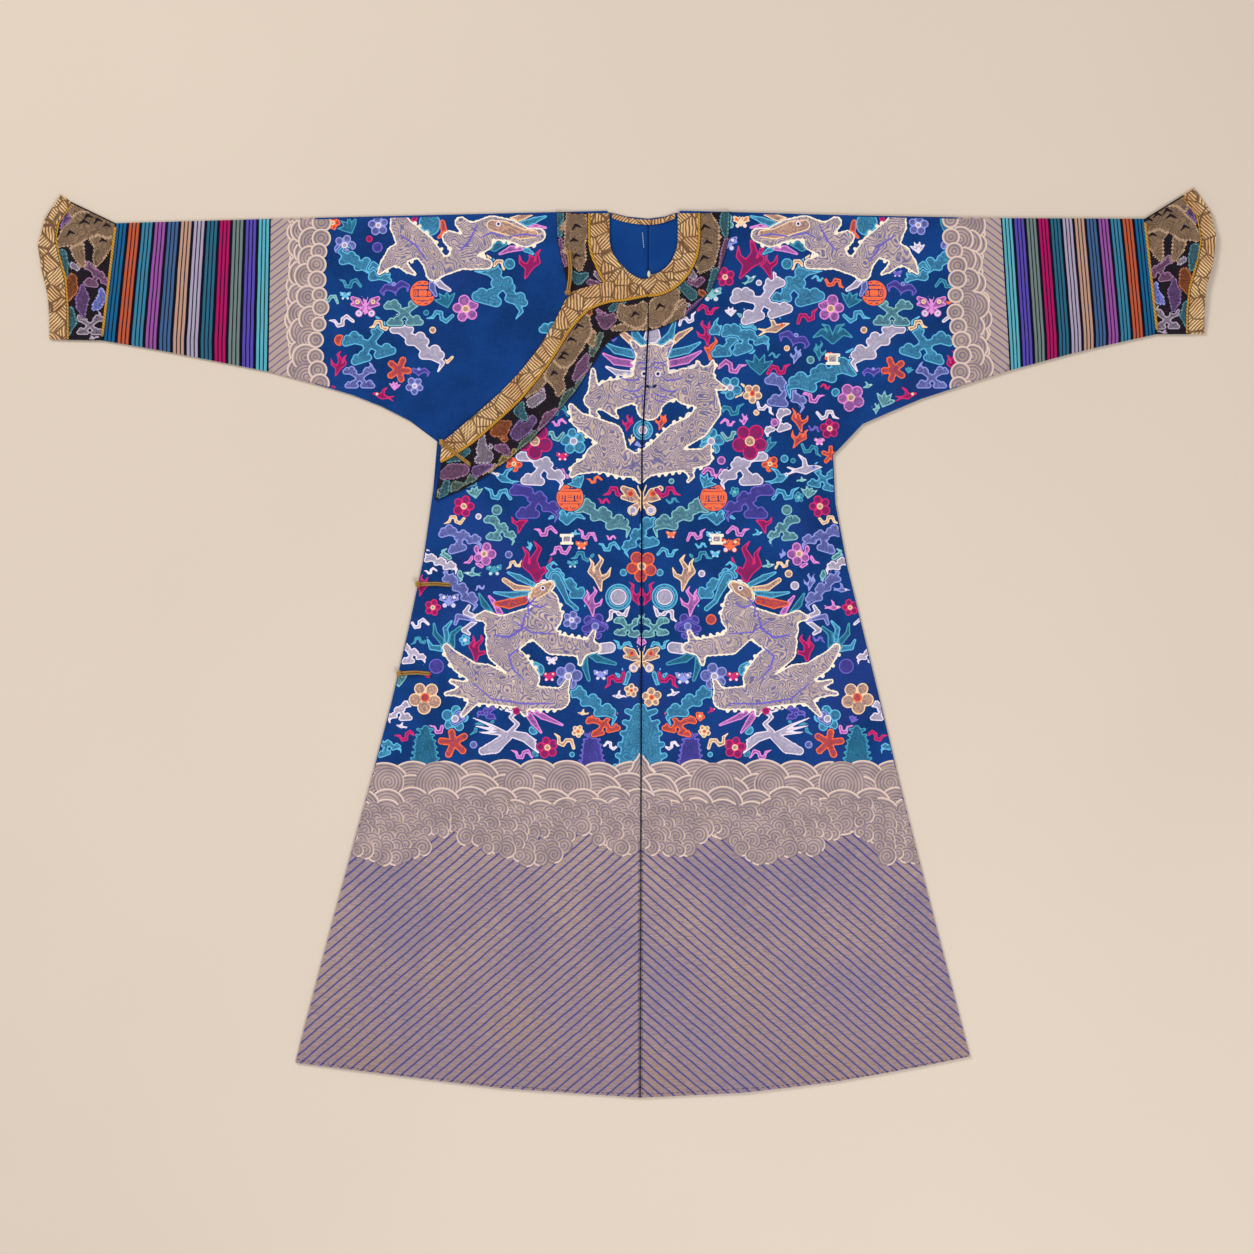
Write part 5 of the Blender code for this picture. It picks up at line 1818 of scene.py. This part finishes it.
LAPEL_FIGURES = [
    ("taupe", [(26, 536, 10), (14, 522, 18), (-4, 526, 13), (-10, 538, 5)]),
    ("taupe", [(30, 512, 12), (4, 506, 8), (-22, 502, 4)]),
    ("dull_teal", [(-4, 548, 4), (-14, 540, 7), (-24, 534, 6)]),
    ("dull_mauve", [(-22, 520, 8), (-34, 512, 11), (-44, 520, 6)]),
    ("dull_mauve", [(-36, 520, 8), (-46, 530, 4)]), ("dull_rust", [(-62, 536, 4), (-60, 528, 5)]),
    ("taupe", [(-66, 520, 8), (-76, 502, 20), (-88, 480, 20), (-100, 458, 18)]),
    ("taupe", [(-60, 490, 12), (-56, 478, 5)]),
    ("taupe", [(-104, 452, 16), (-116, 428, 15), (-108, 408, 9), (-110, 398, 5)]),
    ("taupe", [(-128, 436, 12), (-148, 412, 12), (-162, 400, 8)]),
    ("dull_green", [(-42, 492, 5), (-52, 478, 9), (-56, 462, 5)]),
    ("dull_mauve", [(-64, 458, 5), (-72, 440, 10), (-82, 424, 6)]),
    ("dull_lilac", [(-136, 412, 3), (-138, 394, 8), (-152, 384, 9)]),
    ("dull_teal", [(-168, 382, 4), (-172, 370, 9), (-164, 360, 6)]),
    ("dull_rust", [(-190, 350, 6), (-202, 342, 14), (-212, 336, 7)]),
    ("dull_rust", [(-204, 342, 10), (-196, 326, 6)]),
    ("dull_violet", [(-152, 356, 8), (-164, 346, 13), (-176, 334, 11)]),
    ("dull_lilac", [(-232, 330, 5), (-232, 308, 9), (-226, 298, 12), (-238, 292, 6)]),
    ("dull_lilac", [(-228, 304, 9), (-218, 314, 4)]),
    ("dull_mauve", [(-208, 312, 5), (-198, 310, 8), (-192, 304, 6)]),
    ("dull_violet", [(-222, 284, 7), (-240, 274, 9)]),
    ("dull_teal", [(-256, 306, 6), (-270, 298, 8), (-286, 292, 5)]),
    ("dull_mauve", [(-262, 276, 10), (-280, 274, 13), (-294, 268, 8)]),
    ("dull_teal", [(-288, 258, 5), (-292, 242, 7), (-298, 234, 4)]),
]
# A run of pointed waves down the lapel border's outer edge: each one's silk, and where they meet.
LAPEL_WAVES = [
    "dull_green", "dull_green", "dull_mauve", "dull_green", "dull_olive", "taupe", "dull_green",
    "dull_green", "dull_olive",
]
LAPEL_RUN = [
    (-58, 446), (-82, 408), (-108, 376), (-142, 340), (-174, 310), (-206, 284), (-232, 270),
    (-258, 254), (-286, 241), (-304, 233),
]


def weave_chains(weaving, rows, flip=1, shift=(0.0, 0.0)):
    """Ragged figures, each a silk and a chain of points. The broad taupe ones get dark notches."""
    for silk, points in rows:
        points = [(x * flip + shift[0], y + shift[1], r) for x, y, r in points]
        figured = silk == "taupe"
        field = lumpy(chain(*points, soft=2.0), 2.2 if figured else 1.6, 6.0)
        weaving.fill(field, silk, chain_box(points), step=1.3, gap=0.2 if figured else 1.2)
        for k, (x, y, r) in enumerate(points):
            if figured and r > 14:
                start = (x - r * 0.4, y + r * 0.1 * (-1) ** k, 0.8)
                stroke(
                    weaving, "dark_silk", start, (x - r * 0.1, y + r * 0.32, 2.4),
                    (x + r * 0.34, y + r * 0.12, 0.9),
                )


for cuff_side, flip, shift in (("right", 1, (0.0, 0.0)), ("left", -1, (4.0, 9.0))):
    cuff_name = f"silk_cuff_{cuff_side}"
    on_cuff = Weaving(Surface(cuff_name), outline_field(cuff_name), lift=0.2)
    weave_chains(on_cuff, CUFF_FIGURES, flip, shift)
    edging = [(x, y, 1.8) for x, y in CUFF_EDGE[cuff_side]]
    on_cuff.fill(chain(*edging), "yellow_piping", chain_box(edging), rise=0.5, step=1.2)
    for k, (silk, x, y, size) in enumerate(CUFF_CLOUDS):
        add_figure(on_cuff, "cloud", silk, x * flip + shift[0], y + shift[1], size, 60 + k, flip)
    on_cuff.piece(f"figures_cuff_{cuff_side}", "dark_silk")
for border, rows in (("yoke", YOKE_FIGURES), ("collar", COLLAR_FIGURES), ("lapel", LAPEL_FIGURES)):
    border_name = f"dark_{border}_border"
    on_border = Weaving(Surface(border_name), outline_field(border_name), lift=0.2)
    weave_chains(on_border, rows)
    if border == "lapel":
        lens = [
            (silk, [(ax, ay, 2.0), ((ax + bx) / 2 - 2, (ay + by) / 2 + 3, 7.5), (bx, by, 2.0)])
            for silk, (ax, ay), (bx, by) in zip(LAPEL_WAVES, LAPEL_RUN, LAPEL_RUN[1:])
        ]
        weave_chains(on_border, lens)
    on_border.piece(f"figures_{border}_border", "dark_silk")


# ---- Stitches ----------------------------------------------------------------------------------

def stitch_tree(material):
    """Geometry Nodes: short threads set at an even pitch down a line."""
    tree = bpy.data.node_groups.new("stitch_row", "GeometryNodeTree")
    tree.interface.new_socket("Geometry", in_out="INPUT", socket_type="NodeSocketGeometry")
    tree.interface.new_socket("Geometry", in_out="OUTPUT", socket_type="NodeSocketGeometry")
    sizes = {"Pitch": 0.006, "Thread Length": 0.0034, "Thread Radius": 0.00032}
    for label, size in sizes.items():
        tree.interface.new_socket(label, in_out="INPUT", socket_type="NodeSocketFloat").default_value = size

    def node(kind, mode=None, **inputs):
        made = tree.nodes.new(kind)
        if mode:
            made.mode = mode
        for key, value in inputs.items():
            socket = made.inputs[key.replace("_", " ")]
            if isinstance(value, bpy.types.NodeSocket):
                tree.links.new(value, socket)
            else:
                socket.default_value = value
        return made

    given = tree.nodes.new("NodeGroupInput")
    line = node("GeometryNodeMeshToCurve", Mesh=given.outputs["Geometry"])
    spaced = node("GeometryNodeResampleCurve", "LENGTH", Curve=line.outputs[0], Length=given.outputs["Pitch"])
    places = node("GeometryNodeCurveToPoints", "EVALUATED", Curve=spaced.outputs[0])
    thread = node(
        "GeometryNodeMeshCylinder", Vertices=6, Radius=given.outputs["Thread Radius"],
        Depth=given.outputs["Thread Length"],
    )
    many = node(
        "GeometryNodeInstanceOnPoints", Points=places.outputs["Points"], Instance=thread.outputs["Mesh"],
        Rotation=places.outputs["Rotation"],
    )
    real = node("GeometryNodeRealizeInstances", Geometry=many.outputs[0])
    dressed = node("GeometryNodeSetMaterial", Geometry=real.outputs[0])
    dressed.inputs["Material"].default_value = material
    node("NodeGroupOutput", Geometry=dressed.outputs[0])
    return tree


def stitches(name, surface, path, finish, pitch, length, radius, slot):
    """A row of stitches down a path in millimetres, lying on the cloth."""
    points = []
    for (ax, ay), (bx, by) in zip(path, path[1:]):
        steps = max(1, int(math.hypot(bx - ax, by - ay) / 3))
        for k in range(steps):
            x, y = ax + (bx - ax) * k / steps, ay + (by - ay) * k / steps
            z = surface.height(x, y)
            if z is not None:
                points.append((x * MM, y * MM, z + radius * MM * 0.5))
    mesh = bpy.data.meshes.new(name)
    mesh.from_pydata(points, [(k, k + 1) for k in range(len(points) - 1)], [])
    holder = bpy.data.objects.new("stitching", mesh)
    scene.collection.objects.link(holder)
    rows = holder.modifiers.new("stitches", "NODES")
    rows.node_group = stitch_tree(FINISH[finish])
    sizes = {"Pitch": pitch * MM, "Thread Length": length * MM, "Thread Radius": radius * MM}
    for item in rows.node_group.interface.items_tree:
        if item.in_out == "INPUT" and item.name in sizes:
            rows[item.identifier] = sizes[item.name]
    holder.update_tag()
    sewn = bpy.data.meshes.new_from_object(holder.evaluated_get(bpy.context.evaluated_depsgraph_get()))
    bpy.data.objects.remove(holder)
    return new_piece(name, sewn, finish)


def beside(table, shift_x, shift_y):
    """A line's points, all moved by the same amount."""
    return [(x + shift_x, y + shift_y) for x, y in zip(table["x"], table["y"])]


HEM_LINE = [
    (-526, -668), (-380, -690), (-220, -708), (-60, -720), (18, -723), (60, -722), (220, -712),
    (380, -694), (546, -662),
]
# Each row's path, thread, pitch, stitch length and thread radius in millimetres, and slot.
STITCH_ROWS = {
    "seam_left": (
        [(float(seam_x(y)) + 3.2, y) for y in range(-722, 496, 12)],
        "seam_thread", 7.0, 3.6, 0.34, "figured_silk",
    ),
    "seam_right": (
        [(float(seam_x(y)) - 3.2, y) for y in range(-722, 496, 12)],
        "seam_thread", 7.0, 3.6, 0.34, "figured_silk",
    ),
    "lapel": (beside(LAPEL_TOP, 1.6, -1.8), "yellow_piping", 5.0, 2.6, 0.3, "gold_brocade"),
    "hem": (HEM_LINE, "seam_thread", 8.0, 4.0, 0.34, "figured_silk"),
    "lining": ([(25, 655), (27, 631)], "white_thread", 3.4, 2.5, 0.5, "lining_silk"),
}
everything = Surface(*cloth)
for row_name, row in STITCH_ROWS.items():
    stitches("stitches_" + row_name, everything, *row)


# ---- Stage ----------------------------------------------------------------------------------

def floor_finish():
    """Smooth pale studio paper."""
    finish = Finish("pale_floor", 0.85)
    tone = finish.mix(finish.noise(1.6, 2.0), linear((226, 212, 197)), linear((220, 206, 191)))
    return finish.done(tone)


FLOOR_REACH = 30.0
FLOOR_Z = -0.0005


def build_floor():
    """A wide square of paper, just under the robe."""
    mesh = bpy.data.meshes.new("studio_floor")
    corners = [(-1, -1), (1, -1), (1, 1), (-1, 1)]
    mesh.from_pydata([(x * FLOOR_REACH, y * FLOOR_REACH, FLOOR_Z) for x, y in corners], [], [(0, 1, 2, 3)])
    mesh.materials.append(floor_finish())
    floor = bpy.data.objects.new("studio_floor", mesh)
    scene.collection.objects.link(floor)


def add_light(name, place, aim, size, power, colour):
    """A soft square light, turned to face a place."""
    lamp = bpy.data.lights.new(name, "AREA")
    lamp.size = size
    lamp.energy = power
    lamp.color = colour
    light = bpy.data.objects.new(name, lamp)
    light.location = place
    light.rotation_euler = (Vector(aim) - Vector(place)).to_track_quat("-Z", "Y").to_euler()
    scene.collection.objects.link(light)


# Each light's place, aim, size, power and colour.
LIGHTS = {
    "key_light": ((-5.0, 5.4, 4.4), (0.0, 0.1, 0.0), 2.4, 440.0, (1.0, 0.97, 0.93)),
    "fill_light": ((0.9, -1.7, 3.0), (0.1, -0.3, 0.0), 1.4, 45.0, (0.97, 0.97, 1.0)),
}
build_floor()
for light_name, light_facts in LIGHTS.items():
    add_light(light_name, *light_facts)
world = bpy.data.worlds.new("soft_surround")
world.use_nodes = True
world.node_tree.nodes["Background"].inputs["Color"].default_value = (1.0, 0.97, 0.93, 1.0)
world.node_tree.nodes["Background"].inputs["Strength"].default_value = 0.45
scene.world = world

eye = bpy.data.cameras.new("camera")
eye.lens = 85
eye.sensor_width = 36
camera = bpy.data.objects.new("camera", eye)
camera.location = (0.0, 0.0248, 4.745)
scene.collection.objects.link(camera)
scene.camera = camera
